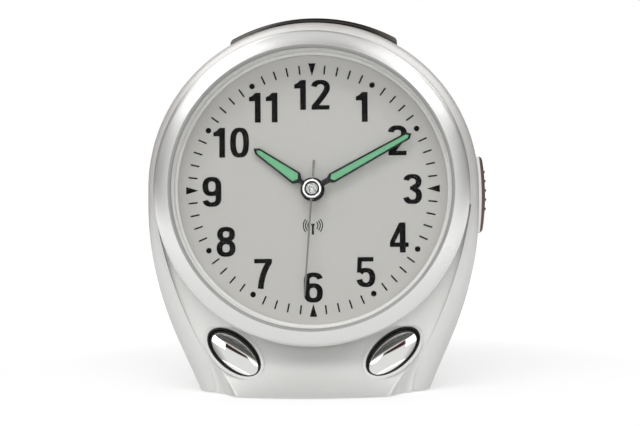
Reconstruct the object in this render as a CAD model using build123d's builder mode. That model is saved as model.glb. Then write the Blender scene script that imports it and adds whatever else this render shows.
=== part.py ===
from build123d import *
import os
from math import acos, atan2, cos, pi, radians, sin, sqrt, tan

os.makedirs("parts", exist_ok=True)

# Stance: the dial leans back, and the origin lies on the table under the middle of the base.
lean = 5.0
base_drop = 11.0
dial_setback = 7.0
case_lift = 0.4

# Fits
running_fit = 0.05
slide_fit = 0.3
press_gap = 0.02

# Case outline, drawn in the dial plane; its round top sits a little above the dial centre
case_radius = 51.0
case_rise = 0.9
shoulder_drop = 4.0
side_radius = 102.0
side_turn = 23.5
outline_drop = 23.0

# Case depths, measured along the dial normal from the dial face
front_level = 4.0
parting_level = -10.0
back_level = -38.0
case_wall = 2.2
back_wall = 2.0
case_floor = 2.0
front_round = 7.0
back_round = 8.0
sweep_radius = 306.0
wing_wall = 4.2

# Apron between the wings, and its flare towards the table
recess_level = 0.5
apron_edge_inset = 2.6
apron_edge_drop = -5.0
apron_edge_middle_inset = (12.8, 11.0)
apron_edge_low_inset = (31.4, 4.0)
flare_start_inset = 10.0
flare_radius = 25.0
flare_inset = 7.1
flare_stations = 7
flare_blend_inner = 0.6
flare_blend_outer = 0.6
flare_blend_rise = (0.19, 0.40)
flare_low_inset = 8.0

# Dial opening, bezel and lens
rim_width = 3.05
bezel_fit = 0.1
bezel_wall = 3.45
bezel_width = 5.55
bezel_crest = 1.2
bezel_fall = 1.8
bezel_front = 12.0
bezel_shoulder = 8.8
bezel_chamfer = 1.0
lens_thickness = 2.0
lens_back = 8.4
dial_sheet = 0.3
dial_plate = 2.0
dial_plate_rim = 0.4
ring_steps = (1.0, 0.2, -0.6)
ring_levels = (1.2, 5.0)
lens_gap = 0.15

# Hands
bushing_radius = 3.6
bushing_front = 1.0
hour_angle = 305.1
minute_angle = 61.3
second_angle = 184.4
hour_back = 1.6
minute_back = 3.0
second_back = 4.4
hand_thickness = 0.4
second_thickness = 0.3
lume_inset = 0.05
hour_hub = 3.65
minute_hub = 3.2
second_hub = 2.0
cap_radius = 2.95
cap_height = 1.6
hour_half_outline = ((0.75, 0.0), (0.75, 4.6), (2.05, 5.9), (1.15, 20.5), (0.0, 22.0))
hour_half_lume = ((0.0, 5.5), (1.45, 6.4), (0.62, 20.1), (0.0, 20.9))
minute_half_outline = ((0.85, 0.0), (0.85, 5.6), (1.6, 6.8), (1.15, 33.4), (0.0, 34.7))
minute_half_lume = ((0.0, 6.4), (1.0, 7.2), (0.6, 33.0), (0.0, 33.7))
second_half_outline = ((0.4, -8.8), (0.22, 32.8))

# Wheel work: involute teeth in layers behind the dial plate
pressure_angle = 25.0
tooth_addendum = 0.8
tooth_dedendum = 1.05
backlash = 0.05
train_module = 0.25
motion_module = 0.3
gear_thickness = 0.8
layer_pitch = 1.5
first_layer_front = -4.1
arbor_radius = 0.5
minute_tube_radius = 1.0
hour_tube_radius = 1.6
stud_radius = 0.6
minute_pinion_teeth = 15
motion_wheel_teeth = 45
motion_pinion_teeth = 12
hour_wheel_teeth = 48
minute_wheel_teeth = 80
minute_idler_pinion_teeth = 10
minute_idler_teeth = 75
second_wheel_teeth = 60
second_idler_pinion_teeth = 10
second_idler_teeth = 50
rotor_teeth = 10
motion_heading = 90.0
minute_idler_heading = 210.0
minute_rotor_heading = 230.0
second_idler_heading = -30.0
second_rotor_heading = -50.0
magnet_radius = 2.0
magnet_height = 2.4
stator_thickness = 0.8
stator_gap = 0.5
stator_ring = 2.1
core_width = 3.0
coil_radius = 2.8
coil_length = 16.0
coil_wall_gap = 0.8

# Movement housing
movement_half = 28.0
movement_wall = 1.2
movement_split = -9.0
movement_back_level = -16.5
ear_reach = 5.0
ear_half_height = 4.0
pivot_depth = 0.6
end_shake = 0.1

# Self-tapping screws
screw_radius = 0.8
screw_head_radius = 1.6
screw_head_height = 1.2
dial_screw_inset = 1.6
dial_screw_count = 3
dial_screw_heading = 90.0
case_screw_radius = 1.0
case_screw_head_radius = 2.0
case_screw_head_height = 1.8
case_screw_seat = -16.0
case_post_radius = 3.2
post_inset = 4.8
upper_post_heading = 32.0
lower_post_inset = 4.9
lower_post_rise = 17.0

# Oval front buttons, on a datum tilted up from the dial plane
button_spread = 24.2
button_inset = 1.6
button_level = 3.0
button_tilt = 18.0
button_turn = 42.0
button_axes = (9.4, 4.85)
button_gap = 0.25
sleeve_wall = 0.4
collar_wall = 0.9
sleeve_recess = 0.6
sleeve_depth = 4.5
button_edge_depth = 1.7
button_crown = 1.5
button_crown_step = 1.6
button_travel = 1.2
button_flange_thickness = 1.0
button_stem_radius = 2.0
button_stem_depth = 7.5
dome_height = 2.5
dome_radius = 3.0
board_thickness = 1.2
button_board_inset = 18.0
button_board_low = -5.0
button_board_high = 8.0
peg_radius = 0.9
button_pillar = (9.0, 0.5)
button_pillar_radius = 2.2
button_pillar_top = -2.2

# Time bar on top
bar_stand = 3.1
bar_half_width = 26.2
bar_back = -25.5
bar_front = -12.5
bar_round = 2.0
bar_flange = 2.4
bar_flange_reach = 2.4
bar_flange_overhang = 0.8
bar_plunger_half = 4.0
bar_dome_drop = 17.1
bar_shelf_thickness = 1.6
bar_shelf_half = 6.0

# Side slide switch
side_pocket_depth = 1.55
side_switch_stand = 2.65
side_switch_low = -13.0
side_switch_high = 10.6
side_switch_travel = 2.0
side_switch_centre = -16.6
side_switch_half_depth = 4.5
side_ridges = 5
side_ridge_pitch = 2.9
side_ridge_height = 0.8
side_neck_half = 1.5
side_neck_depth = 1.0
side_end_round = 2.4
side_pad_thickness = 3.0
side_body_height = 4.0
side_body_length = 7.0
side_body_half = 6.0

# Main board and sound
main_board_front = -18.6
main_board_thickness = 1.6
main_board_half_width = 34.0
main_board_low = -16.0
main_board_high = 30.0
main_board_tongue_gap = 6.0
main_board_tongue_half = 8.0
board_post_radius = 2.2
board_post_spread = 30.0
board_post_rows = (26.0, -12.0)
chip_centre = (-20.0, -7.0)
chip_half = 5.0
chip_height = 1.4
speaker_centre = 12.0
speaker_radius = 17.0
speaker_flange = 1.2
speaker_seal = 0.2
cone_radius = 14.4
basket_wall = 0.8
throat_radius = 8.5
throat_level = -28.0
magnet_back = -23.5
speaker_cone_gap = 0.3
cone_thickness = 0.5
grille_radius = 13.0
grille_pitch = 3.6
grille_slot = 1.8
grille_rows = 7
speaker_screw_circle = 18.6
speaker_boss_radius = 1.5
speaker_head_radius = 2.0
speaker_screw_start = 30.0
speaker_screw_count = 3

# Rear controls
control_left = -43.0
control_right = -23.0
control_low = -4.0
control_high = 18.0
control_board_back = -31.0
control_pegs = ((-41.0, 15.5), (-26.0, -1.0))
zone_centre = (-33.0, 12.0)
zone_travel = 2.5
zone_knob_half = 2.5
zone_knob_height = 1.6
zone_neck_half = 1.0
zone_body_half = 5.0
zone_body_half_height = 2.5
zone_body_depth = 2.4
zone_proud = 1.2
sync_centre = (-33.0, 1.5)
sync_radius = 3.0
sync_proud = 1.0
sync_flange_radius = 4.2
sync_dome_radius = 2.4

# Batteries: two size AA cells lying side by side
cell_radius = 7.25
cell_length = 49.2
cell_nub_radius = 2.7
cell_round = 0.8
cell_nub_height = 1.3
cell_spacing = 15.3
cell_pair_inset = 13.85
cell_level = -27.3
spring_length = 5.0
spring_radius = 4.0
spring_tip_radius = 2.6
contact_thickness = 0.4
contact_half_width = 5.5
tray_wall = 1.5
tray_gap = 0.35
tray_drop = 1.8
door_thickness = 1.8
door_gap = 0.3
hinge_height = 1.0
hinge_gap = 0.8
hinge_inset = 1.2
hinge_pin_radius = 0.8
hinge_pin_length = 1.2
door_rib_half = 8.0
door_rib_pitch = 2.0
door_ribs = 4
door_notch_radius = 5.0

# Ferrite receiving rod above the movement
rod_radius = 3.5
rod_length = 44.0
rod_height = 33.5
rod_level = -7.4
rod_coil_wall = 0.85
rod_coil_left = -10.0
rod_coil_right = 6.0
holder_spacing = 19.0
holder_half = 2.0
holder_wall = 1.0

# Soft base pad
pad_half_width = 24.0
pad_half_depth = 17.0
pad_corner = 6.0
pad_sink = 0.6

# Derived radii and places, from the case radius
dial_height = case_radius + base_drop
outline_reach = case_radius + outline_drop
bezel_radius = case_radius - rim_width
seat_radius = bezel_radius + bezel_fit
opening_radius = bezel_radius - bezel_wall
bezel_lip_radius = bezel_radius - bezel_width
bezel_crest_radius = bezel_radius - bezel_crest
ring_radii = [bezel_lip_radius - step for step in ring_steps]
dial_plate_radius = seat_radius - dial_plate_rim
dial_screw_circle = dial_plate_radius - dial_screw_inset
post_circle = case_radius - post_inset
upper_post_turn = radians(upper_post_heading)
upper_post = (post_circle * cos(upper_post_turn), case_rise + post_circle * sin(upper_post_turn))
lower_post_y = lower_post_rise - case_radius
side_wall_x = case_radius - side_radius + sqrt(side_radius**2 - (lower_post_y + shoulder_drop) ** 2)
lower_post = (side_wall_x - lower_post_inset, lower_post_y)
apron_edge_top = (case_radius - apron_edge_inset, apron_edge_drop)
apron_edge_middle = (case_radius - apron_edge_middle_inset[0], apron_edge_middle_inset[1] - case_radius)
apron_edge_low = (case_radius - apron_edge_low_inset[0], apron_edge_low_inset[1] - outline_reach)
flare_half_width = case_radius - flare_inset
flare_start = flare_start_inset - case_radius
flare_low = flare_low_inset - outline_reach
button_drop = button_inset - case_radius
button_board_half = case_radius - button_board_inset
cell_pair_centre = cell_pair_inset - case_radius
tray_low = -case_radius - tray_drop
bar_radius = case_radius + bar_stand
bar_dome_seat = case_radius + case_rise - bar_dome_drop
side_pocket_x = case_radius - side_pocket_depth
side_switch_x = case_radius + side_switch_stand
main_board_tongue = case_radius - main_board_tongue_gap

# Shared planes
tilt = radians(lean)
face = Plane(
    origin=(0, -dial_setback, dial_height),
    x_dir=(1, 0, 0),
    z_dir=(0, -cos(tilt), sin(tilt)),
)
section = Plane(origin=face.origin, x_dir=face.x_dir, z_dir=-face.y_dir)
side = Plane(origin=face.origin, x_dir=face.z_dir, z_dir=-face.x_dir)
dial_axis = Axis(face.origin, face.z_dir)
case_base = Plane.XY.offset(case_lift)
floor_top = Plane.XY.offset(case_lift + case_floor)
rise = radians(button_tilt)
button_datum = Plane(
    origin=face.from_local_coords((0, button_drop, button_level)),
    x_dir=face.x_dir,
    z_dir=face.z_dir * cos(rise) + face.y_dir * sin(rise),
)
stand = (Align.CENTER, Align.CENTER, Align.MIN)

# Derived levels
dial_plate_front = -dial_sheet
dial_plate_back = dial_plate_front - dial_plate
lens_front = lens_back + lens_thickness
hour_front = hour_back + hand_thickness
minute_front = minute_back + hand_thickness
second_front = second_back + second_thickness
inner_front = dial_plate_back - movement_wall
inner_back = movement_back_level + movement_wall
inner_half = movement_half - movement_wall
rear_inner = back_level + back_wall
hollow_front = recess_level - case_wall
main_board_back = main_board_front - main_board_thickness
control_board_front = control_board_back + board_thickness
cell_floor = cell_level + cell_radius + tray_gap
cell_rows = (cell_pair_centre + cell_spacing / 2, cell_pair_centre - cell_spacing / 2)
cell_total = cell_length + cell_nub_height
tray_half = (cell_total + spring_length + 2 * contact_thickness) / 2
tray_high = cell_rows[0] + cell_radius + tray_gap
door_low = tray_low + hinge_gap
door_high = tray_high - door_gap
hinge_y = door_low + hinge_height
hinge_level = back_level + hinge_inset
speaker_back = rear_inner + speaker_seal
button_board_level = -button_stem_depth - press_gap - dome_height
flange_front = -sleeve_depth - slide_fit
button_well_back = flange_front - button_flange_thickness - button_travel - slide_fit


def local(point):
    return face.to_local_coords(point)


def rim_of(piece, low, high):
    """The edges between two depths, apart from the straight one across the base."""
    picked = []
    for edge in piece.edges():
        ends = [local(edge @ place) for place in (0, 0.5, 1)]
        depths = [point.Z for point in ends]
        across = abs(ends[1].X) < press_gap and ends[1].Y < 0
        if min(depths) > low and max(depths) < high and not across:
            picked.append(edge)
    return picked


def pad_outline(grow):
    """The soft pad's rounded outline on the table, grown all round."""
    with BuildSketch(Plane.XY) as shape:
        RectangleRounded(2 * (pad_half_width + grow), 2 * (pad_half_depth + grow), pad_corner)
    return shape.sketch


def disc(x, y, back, front, radius, mode=Mode.ADD, plane=face):
    """A round boss along a plane's normal, between two depths."""
    with Locations(plane.location * Location((x, y, back))):
        Cylinder(radius, front - back, align=stand, mode=mode)


def block(left, right, low, high, back, front, mode=Mode.ADD, plane=face):
    """A square-edged block between six levels of a plane."""
    with Locations(plane.location * Location(((left + right) / 2, (low + high) / 2, back))):
        Box(right - left, high - low, front - back, align=stand, mode=mode)


def around(radius, count, start):
    """Evenly spaced points on a circle about the dial centre, the first at the start angle."""
    return [from_centre((0.0, 0.0), radius, start + 360 / count * index) for index in range(count)]


def write(piece, name):
    piece.part.label = name
    export_step(piece.part, f"parts/{name}.step")


def case_outline(inset, level):
    """The case seen along the dial normal: a half round, then sides that draw in to the base."""
    top = case_radius - inset
    bend = side_radius - inset
    turn = radians(side_turn)
    centre_x = side_radius - case_radius
    low_x = bend * cos(turn) - centre_x
    low_y = -shoulder_drop - bend * sin(turn)
    foot_x = low_x - (low_y + outline_reach) * tan(turn)
    with BuildSketch(face.offset(level)) as shape:
        with BuildLine():
            CenterArc((0, case_rise), top, 0, 180)
            Line((-top, case_rise), (-top, -shoulder_drop))
            CenterArc((centre_x, -shoulder_drop), bend, 180, side_turn)
            Line((-low_x, low_y), (-foot_x, -outline_reach))
            Line((-foot_x, -outline_reach), (foot_x, -outline_reach))
            Line((foot_x, -outline_reach), (low_x, low_y))
            CenterArc((-centre_x, -shoulder_drop), bend, -side_turn, side_turn)
            Line((top, -shoulder_drop), (top, case_rise))
        make_face()
    return shape.sketch


def sweep_back(level):
    """The space in front of the wings, which curve back below the shoulders."""
    drop = outline_reach - shoulder_drop
    turn = degrees_of(drop / sweep_radius)
    low_level = level - sweep_radius + sqrt(sweep_radius**2 - drop**2)
    far = level + case_radius
    with BuildSketch(side) as shape:
        with BuildLine():
            CenterArc((level - sweep_radius, -shoulder_drop), sweep_radius, -turn, turn)
            Line((level, -shoulder_drop), (far, -shoulder_drop))
            Line((far, -shoulder_drop), (far, -outline_reach))
            Line((far, -outline_reach), (low_level, -outline_reach))
        make_face()
    return shape.sketch


def degrees_of(sine):
    """The angle in degrees that has this sine."""
    return atan2(sine, sqrt(1 - sine**2)) * 180 / pi


def apron_region():
    """The area between the wings and outside the bezel seat, seen along the dial normal."""
    top_x, top_y = apron_edge_top
    mid_x, mid_y = apron_edge_middle
    low_x, low_y = apron_edge_low
    with BuildSketch(face.offset(recess_level)) as shape:
        with BuildLine():
            ThreePointArc((-top_x, top_y), (-mid_x, mid_y), (-low_x, low_y))
            Line((-low_x, low_y), (low_x, low_y))
            ThreePointArc((low_x, low_y), (mid_x, mid_y), (top_x, top_y))
            Line((top_x, top_y), (-top_x, top_y))
        make_face()
        Circle(seat_radius, mode=Mode.SUBTRACT)
    return shape.sketch


def flare_face(fall, inset):
    """One level section of the apron, at a share of its fall to the table: an arc that bulges forward
    more and more on the way down, and runs into the wings by an S-curve at each end."""
    drop = flare_start + fall * (flare_low - flare_start)
    bulge = max(flare_radius * (1 - sqrt(1 - fall**2)), press_gap)
    crest = recess_level + bulge - inset
    edge = recess_level - inset
    back = parting_level
    share = (drop - apron_edge_middle[1]) / (apron_edge_low[1] - apron_edge_middle[1])
    corner = apron_edge_middle[0] + share * (apron_edge_low[0] - apron_edge_middle[0]) - inset
    inner = corner - flare_blend_inner - flare_blend_rise[0] * bulge
    outer = corner + flare_blend_outer + flare_blend_rise[1] * bulge
    middle = (inner + outer) / 2
    arc_radius = (flare_half_width**2 + bulge**2) / (2 * bulge)
    brow = crest - arc_radius + sqrt(arc_radius**2 - inner**2)
    level_plane = Plane(
        origin=face.from_local_coords((0, drop, 0)),
        x_dir=face.x_dir,
        z_dir=-face.y_dir,
    )
    with BuildSketch(level_plane) as shape:
        with BuildLine():
            ThreePointArc((-inner, brow), (0, crest), (inner, brow))
            Bezier((inner, brow), (middle, brow), (middle, edge), (outer, edge))
            Line((outer, edge), (outer, back))
            Line((outer, back), (-outer, back))
            Line((-outer, back), (-outer, edge))
            Bezier((-outer, edge), (-middle, edge), (-middle, brow), (-inner, brow))
        make_face()
    return shape.sketch


def flare_faces(inset):
    return [flare_face(index / (flare_stations - 1), inset) for index in range(flare_stations)]


def oval(grow, depth, turn):
    """A button-shaped oval on the button datum, grown all round, at the given side's tilt."""
    long_axis, short_axis = button_axes
    spread = button_spread if turn > 0 else -button_spread
    with BuildSketch(button_datum.offset(depth)) as shape:
        with Locations((spread, 0)):
            Ellipse(long_axis + grow, short_axis + grow, rotation=turn)
    return shape.sketch


def ovals(grow, depth):
    return oval(grow, depth, button_turn), oval(grow, depth, -button_turn)


def gear(centre, back, front, teeth, module, heading):
    """An involute wheel with one tooth at the given heading, in degrees from the right."""
    x, y = centre
    pitch = module * teeth / 2
    slope = radians(pressure_angle)
    base = pitch * cos(slope)
    tip = pitch + tooth_addendum * module
    root = pitch - tooth_dedendum * module
    start = max(base, root + press_gap)
    middle = (start + tip) / 2

    def half_angle(radius):
        lift = acos(min(1.0, base / radius))
        grown = tan(slope) - slope - tan(lift) + lift
        return pi / (2 * teeth) + grown - backlash / (2 * pitch)

    def spot(radius, angle):
        return (x + radius * cos(angle), y + radius * sin(angle))

    flank = [(root, half_angle(start)), (start, half_angle(start))]
    flank += [(middle, half_angle(middle)), (tip, half_angle(tip))]
    gap = 2 * pi / teeth
    points = []
    for tooth in range(teeth):
        mid = radians(heading) + gap * tooth
        points += [spot(radius, mid - angle) for radius, angle in flank]
        points += [spot(radius, mid + angle) for radius, angle in reversed(flank)]
    with BuildSketch(face.offset(back)) as shape:
        with BuildLine():
            Polyline(*points, close=True)
        make_face()
    extrude(shape.sketch, amount=front - back)


def layer(index):
    """Back and front level of a wheel layer, counted from the dial."""
    front = first_layer_front - layer_pitch * (index - 1)
    return front - gear_thickness, front


def from_centre(start, distance, heading):
    angle = radians(heading)
    return (start[0] + distance * cos(angle), start[1] + distance * sin(angle))


def hand_outline(half, back, angle):
    """A hand drawn pointing up and turned clockwise to its angle: right-hand points mirrored."""
    right = list(half)
    left = [(-x, y) for x, y in reversed(half) if x > 0]
    turned = Plane(face.location * Location((0, 0, back), (0, 0, -angle)))
    with BuildSketch(turned) as shape:
        with BuildLine():
            Polyline(*right, *left, close=True)
        make_face()
    return shape.sketch


# Where the wheels stand
centre = (0.0, 0.0)
motion_distance = motion_module * (minute_pinion_teeth + motion_wheel_teeth) / 2
motion_at = from_centre(centre, motion_distance, motion_heading)
minute_idler_distance = train_module * (minute_wheel_teeth + minute_idler_pinion_teeth) / 2
minute_idler_at = from_centre(centre, minute_idler_distance, minute_idler_heading)
minute_rotor_distance = train_module * (minute_idler_teeth + rotor_teeth) / 2
minute_rotor_at = from_centre(minute_idler_at, minute_rotor_distance, minute_rotor_heading)
second_idler_distance = train_module * (second_wheel_teeth + second_idler_pinion_teeth) / 2
second_idler_at = from_centre(centre, second_idler_distance, second_idler_heading)
second_rotor_distance = train_module * (second_idler_teeth + rotor_teeth) / 2
second_rotor_at = from_centre(second_idler_at, second_rotor_distance, second_rotor_heading)
minute_magnet_back = layer(4)[0] - layer_pitch - magnet_height
second_magnet_back = layer(6)[1] + layer_pitch
minute_stator_back = minute_magnet_back + (magnet_height - stator_thickness) / 2
second_stator_back = second_magnet_back + (magnet_height - stator_thickness) / 2
minute_core_x = -inner_half + coil_wall_gap + coil_radius
second_core_y = -inner_half + coil_wall_gap + coil_radius
minute_coil_low = minute_rotor_at[1] + magnet_radius + stator_gap + stator_ring + screw_radius
second_coil_right = second_rotor_at[0]


# Front case: drum front, wings and flared apron in one shell
with BuildPart() as apron_flare:
    loft(flare_faces(0))
    disc(0, 0, parting_level, bezel_front + flare_radius, seat_radius, Mode.SUBTRACT)
    split(bisect_by=case_base, keep=Keep.TOP)

with BuildPart() as flare_hollow:
    loft(flare_faces(case_wall))
    disc(0, 0, parting_level, bezel_front + flare_radius, seat_radius + case_wall, Mode.SUBTRACT)
    split(bisect_by=floor_top, keep=Keep.TOP)

with BuildPart() as front_hollow:
    extrude(case_outline(case_wall, parting_level), amount=hollow_front - parting_level)
    extrude(sweep_back(front_level - wing_wall), amount=case_radius, both=True, mode=Mode.SUBTRACT)
    split(bisect_by=floor_top, keep=Keep.TOP)

with BuildPart() as front_case:
    extrude(case_outline(0, parting_level), amount=front_level - parting_level)
    extrude(sweep_back(front_level), amount=case_radius, both=True, mode=Mode.SUBTRACT)
    split(bisect_by=case_base, keep=Keep.TOP)
    fillet(rim_of(front_case, parting_level + slide_fit, bezel_front), front_round)
    extrude(apron_region(), amount=case_radius, mode=Mode.SUBTRACT)
    add(apron_flare.part)
    for sketch in ovals(button_gap + sleeve_wall + collar_wall, -sleeve_depth):
        extrude(sketch, amount=sleeve_depth)
    add(front_hollow.part, mode=Mode.SUBTRACT)
    add(flare_hollow.part, mode=Mode.SUBTRACT)
    disc(0, 0, hollow_front - dial_plate, dial_plate_front, dial_plate_radius + slide_fit, Mode.SUBTRACT)
    disc(0, 0, parting_level, bezel_front, opening_radius, Mode.SUBTRACT)
    for post in (upper_post, lower_post):
        for sign in (1, -1):
            disc(sign * post[0], post[1], parting_level, dial_plate_back - slide_fit, case_post_radius)
            disc(
                sign * post[0],
                post[1],
                parting_level,
                dial_plate_back - slide_fit - case_wall,
                case_screw_radius,
                Mode.SUBTRACT,
            )
    for x, y in around(dial_screw_circle, dial_screw_count, dial_screw_heading):
        disc(x, y, dial_plate_front, front_level - screw_head_height, screw_radius, Mode.SUBTRACT)
    for sign in (1, -1):
        disc(
            sign * button_pillar[0],
            button_pillar[1],
            button_board_level,
            button_pillar_top,
            button_pillar_radius,
            plane=button_datum,
        )
        disc(
            sign * button_pillar[0],
            button_pillar[1],
            button_board_level - board_thickness - slide_fit,
            button_board_level,
            peg_radius,
            plane=button_datum,
        )
    for sketch in ovals(button_gap + sleeve_wall, button_well_back):
        extrude(sketch, amount=flare_radius, mode=Mode.SUBTRACT)
    extrude(pad_outline(running_fit), amount=case_lift + pad_sink, mode=Mode.SUBTRACT)
write(front_case, "front_case")


# Bezel ring with an inner lip over the lens
with BuildPart() as bezel_ring:
    lip_level = lens_front + press_gap
    crest_level = bezel_front - bezel_fall
    with BuildSketch(section):
        with BuildLine():
            Polyline(
                (bezel_lip_radius + bezel_chamfer, bezel_front),
                (bezel_lip_radius, bezel_front - bezel_chamfer),
                (bezel_lip_radius, lip_level),
                (opening_radius, lip_level),
                (opening_radius, front_level),
                (bezel_radius, front_level),
                (bezel_radius, bezel_shoulder),
            )
            TangentArc((bezel_radius, bezel_shoulder), (bezel_crest_radius, crest_level), tangent=(0, 1))
            Line((bezel_crest_radius, crest_level), (bezel_lip_radius + bezel_chamfer, bezel_front))
        make_face()
    revolve(axis=dial_axis)
write(bezel_ring, "bezel_ring")

# Clear lens
with BuildPart() as lens:
    disc(0, 0, lens_back, lens_front, opening_radius - lens_gap)
write(lens, "lens")

# Stepped ring between the dial and the lens
with BuildPart() as dial_ring:
    ring_outer = opening_radius - lens_gap
    ring_points = [(ring_outer, 0.0)]
    ring_start = 0.0
    for radius, top in zip(ring_radii, (*ring_levels, lens_back)):
        ring_points += [(radius, ring_start), (radius, top)]
        ring_start = top
    with BuildSketch(section):
        with BuildLine():
            Polyline(*ring_points, (ring_outer, lens_back), close=True)
        make_face()
    revolve(axis=dial_axis)
write(dial_ring, "dial_ring")

# Printed dial sheet
with BuildPart() as dial_face:
    disc(0, 0, dial_plate_front, 0, opening_radius - lens_gap)
    disc(0, 0, dial_plate_front, 0, bushing_radius + running_fit, Mode.SUBTRACT)
write(dial_face, "dial_face")

# Moulded dial plate, which carries the movement and the receiving rod
movement_screw_x = movement_half + ear_reach / 2
with BuildPart() as dial_base:
    disc(0, 0, dial_plate_back, dial_plate_front, dial_plate_radius)
    disc(0, 0, dial_plate_back, dial_plate_front, bushing_radius + running_fit, Mode.SUBTRACT)
    for x, y in around(dial_screw_circle, dial_screw_count, dial_screw_heading):
        disc(x, y, dial_plate_back, dial_plate_front, screw_radius + running_fit, Mode.SUBTRACT)
    for sign in (1, -1):
        disc(
            sign * movement_screw_x,
            0,
            dial_plate_back,
            dial_plate_front - slide_fit,
            screw_radius,
            Mode.SUBTRACT,
        )
write(dial_base, "dial_base")

with BuildPart() as dial_screws:
    for x, y in around(dial_screw_circle, dial_screw_count, dial_screw_heading):
        disc(x, y, dial_plate_back - screw_head_height, dial_plate_back, screw_head_radius)
        disc(
            x,
            y,
            dial_plate_back,
            front_level - screw_head_height - slide_fit,
            screw_radius - press_gap,
        )
write(dial_screws, "dial_screws")

# Hands, each with its hub and a luminous filling
with BuildPart() as hour_hand:
    extrude(hand_outline(hour_half_outline, hour_back, hour_angle), amount=hand_thickness)
    disc(0, 0, hour_back, hour_front, hour_hub)
    disc(0, 0, hour_back - hand_thickness, hour_back, hour_tube_radius + hand_thickness)
    extrude(
        hand_outline(hour_half_lume, hour_back, hour_angle),
        amount=hand_thickness,
        mode=Mode.SUBTRACT,
    )
    disc(0, 0, hour_back - hand_thickness, hour_front, hour_tube_radius, Mode.SUBTRACT)
write(hour_hand, "hour_hand")

with BuildPart() as hour_lume:
    extrude(
        hand_outline(hour_half_lume, hour_back + lume_inset, hour_angle),
        amount=hand_thickness - 2 * lume_inset,
    )
write(hour_lume, "hour_lume")

with BuildPart() as minute_hand:
    extrude(hand_outline(minute_half_outline, minute_back, minute_angle), amount=hand_thickness)
    disc(0, 0, minute_back, minute_front, minute_hub)
    disc(0, 0, minute_back - hand_thickness, minute_back, minute_tube_radius + hand_thickness)
    extrude(
        hand_outline(minute_half_lume, minute_back, minute_angle),
        amount=hand_thickness,
        mode=Mode.SUBTRACT,
    )
    disc(0, 0, minute_back - hand_thickness, minute_front, minute_tube_radius, Mode.SUBTRACT)
write(minute_hand, "minute_hand")

with BuildPart() as minute_lume:
    extrude(
        hand_outline(minute_half_lume, minute_back + lume_inset, minute_angle),
        amount=hand_thickness - 2 * lume_inset,
    )
write(minute_lume, "minute_lume")

with BuildPart() as second_hand:
    extrude(hand_outline(second_half_outline, second_back, second_angle), amount=second_thickness)
    disc(0, 0, second_back, second_front, second_hub)
    disc(0, 0, second_back - hand_thickness, second_back, arbor_radius + hand_thickness)
    disc(0, 0, second_back - hand_thickness, second_front, arbor_radius, Mode.SUBTRACT)
write(second_hand, "second_hand")

with BuildPart() as hand_cap:
    disc(0, 0, second_front, second_front + cap_height, cap_radius)
    fillet(hand_cap.edges().group_by(Axis(face.origin, face.z_dir))[-1], cap_height / 3)
write(hand_cap, "hand_cap")

# Movement housing, in two trays that meet behind the motion work
with BuildPart() as movement_front:
    block(
        -movement_half,
        movement_half,
        -movement_half,
        movement_half,
        movement_split,
        dial_plate_back,
    )
    block(-inner_half, inner_half, -inner_half, inner_half, movement_split, inner_front, Mode.SUBTRACT)
    block(
        -movement_half - ear_reach,
        movement_half + ear_reach,
        -ear_half_height,
        ear_half_height,
        inner_front,
        dial_plate_back,
    )
    disc(0, 0, dial_plate_back, bushing_front, bushing_radius)
    disc(0, 0, inner_front, bushing_front, hour_tube_radius + running_fit, Mode.SUBTRACT)
    disc(*motion_at, layer(2)[0] - end_shake, inner_front, stud_radius)
    for x, y in (minute_idler_at, minute_rotor_at, second_rotor_at):
        disc(
            x,
            y,
            inner_front,
            inner_front + pivot_depth + end_shake,
            arbor_radius + running_fit,
            Mode.SUBTRACT,
        )
    for sign in (1, -1):
        disc(
            sign * movement_screw_x,
            0,
            inner_front,
            dial_plate_back,
            screw_radius + running_fit,
            Mode.SUBTRACT,
        )
write(movement_front, "movement_front")

minute_core_top = minute_coil_low + coil_length + core_width
second_coil_left = second_coil_right - coil_length
second_core_left = second_coil_left - core_width
with BuildPart() as movement_back:
    block(
        -movement_half,
        movement_half,
        -movement_half,
        movement_half,
        movement_back_level,
        movement_split,
    )
    block(-inner_half, inner_half, -inner_half, inner_half, inner_back, movement_split, Mode.SUBTRACT)
    disc(*second_idler_at, inner_back, layer(5)[1] + end_shake, stud_radius)
    disc(
        minute_core_x,
        minute_core_top - core_width / 2,
        inner_back,
        minute_stator_back,
        core_width / 2,
    )
    disc(minute_core_x, minute_rotor_at[1], inner_back, minute_stator_back, core_width / 2)
    disc(
        second_core_left + core_width / 2,
        second_core_y,
        inner_back,
        second_stator_back,
        core_width / 2,
    )
    disc(
        second_rotor_at[0] + magnet_radius + stator_gap,
        second_core_y,
        inner_back,
        second_stator_back,
        core_width / 2,
    )
    for x, y in (centre, minute_idler_at, minute_rotor_at, second_rotor_at):
        disc(
            x,
            y,
            inner_back - pivot_depth - end_shake,
            inner_back,
            arbor_radius + running_fit,
            Mode.SUBTRACT,
        )
write(movement_back, "movement_back")

with BuildPart() as movement_screws:
    for sign in (1, -1):
        x = sign * movement_screw_x
        disc(x, 0, inner_front - screw_head_height, inner_front, screw_head_radius)
        disc(x, 0, inner_front, dial_plate_front - 2 * slide_fit, screw_radius - press_gap)
write(movement_screws, "movement_screws")

# Motion work: hour wheel on its pipe, motion wheel on a stud, minute wheel on its pipe
half_tooth = 180.0
with BuildPart() as hour_wheel:
    gear(centre, *layer(1), hour_wheel_teeth, motion_module, motion_heading)
    disc(0, 0, layer(1)[0], hour_front, hour_tube_radius)
    disc(0, 0, layer(1)[0], hour_front, minute_tube_radius + running_fit, Mode.SUBTRACT)
write(hour_wheel, "hour_wheel")

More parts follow.
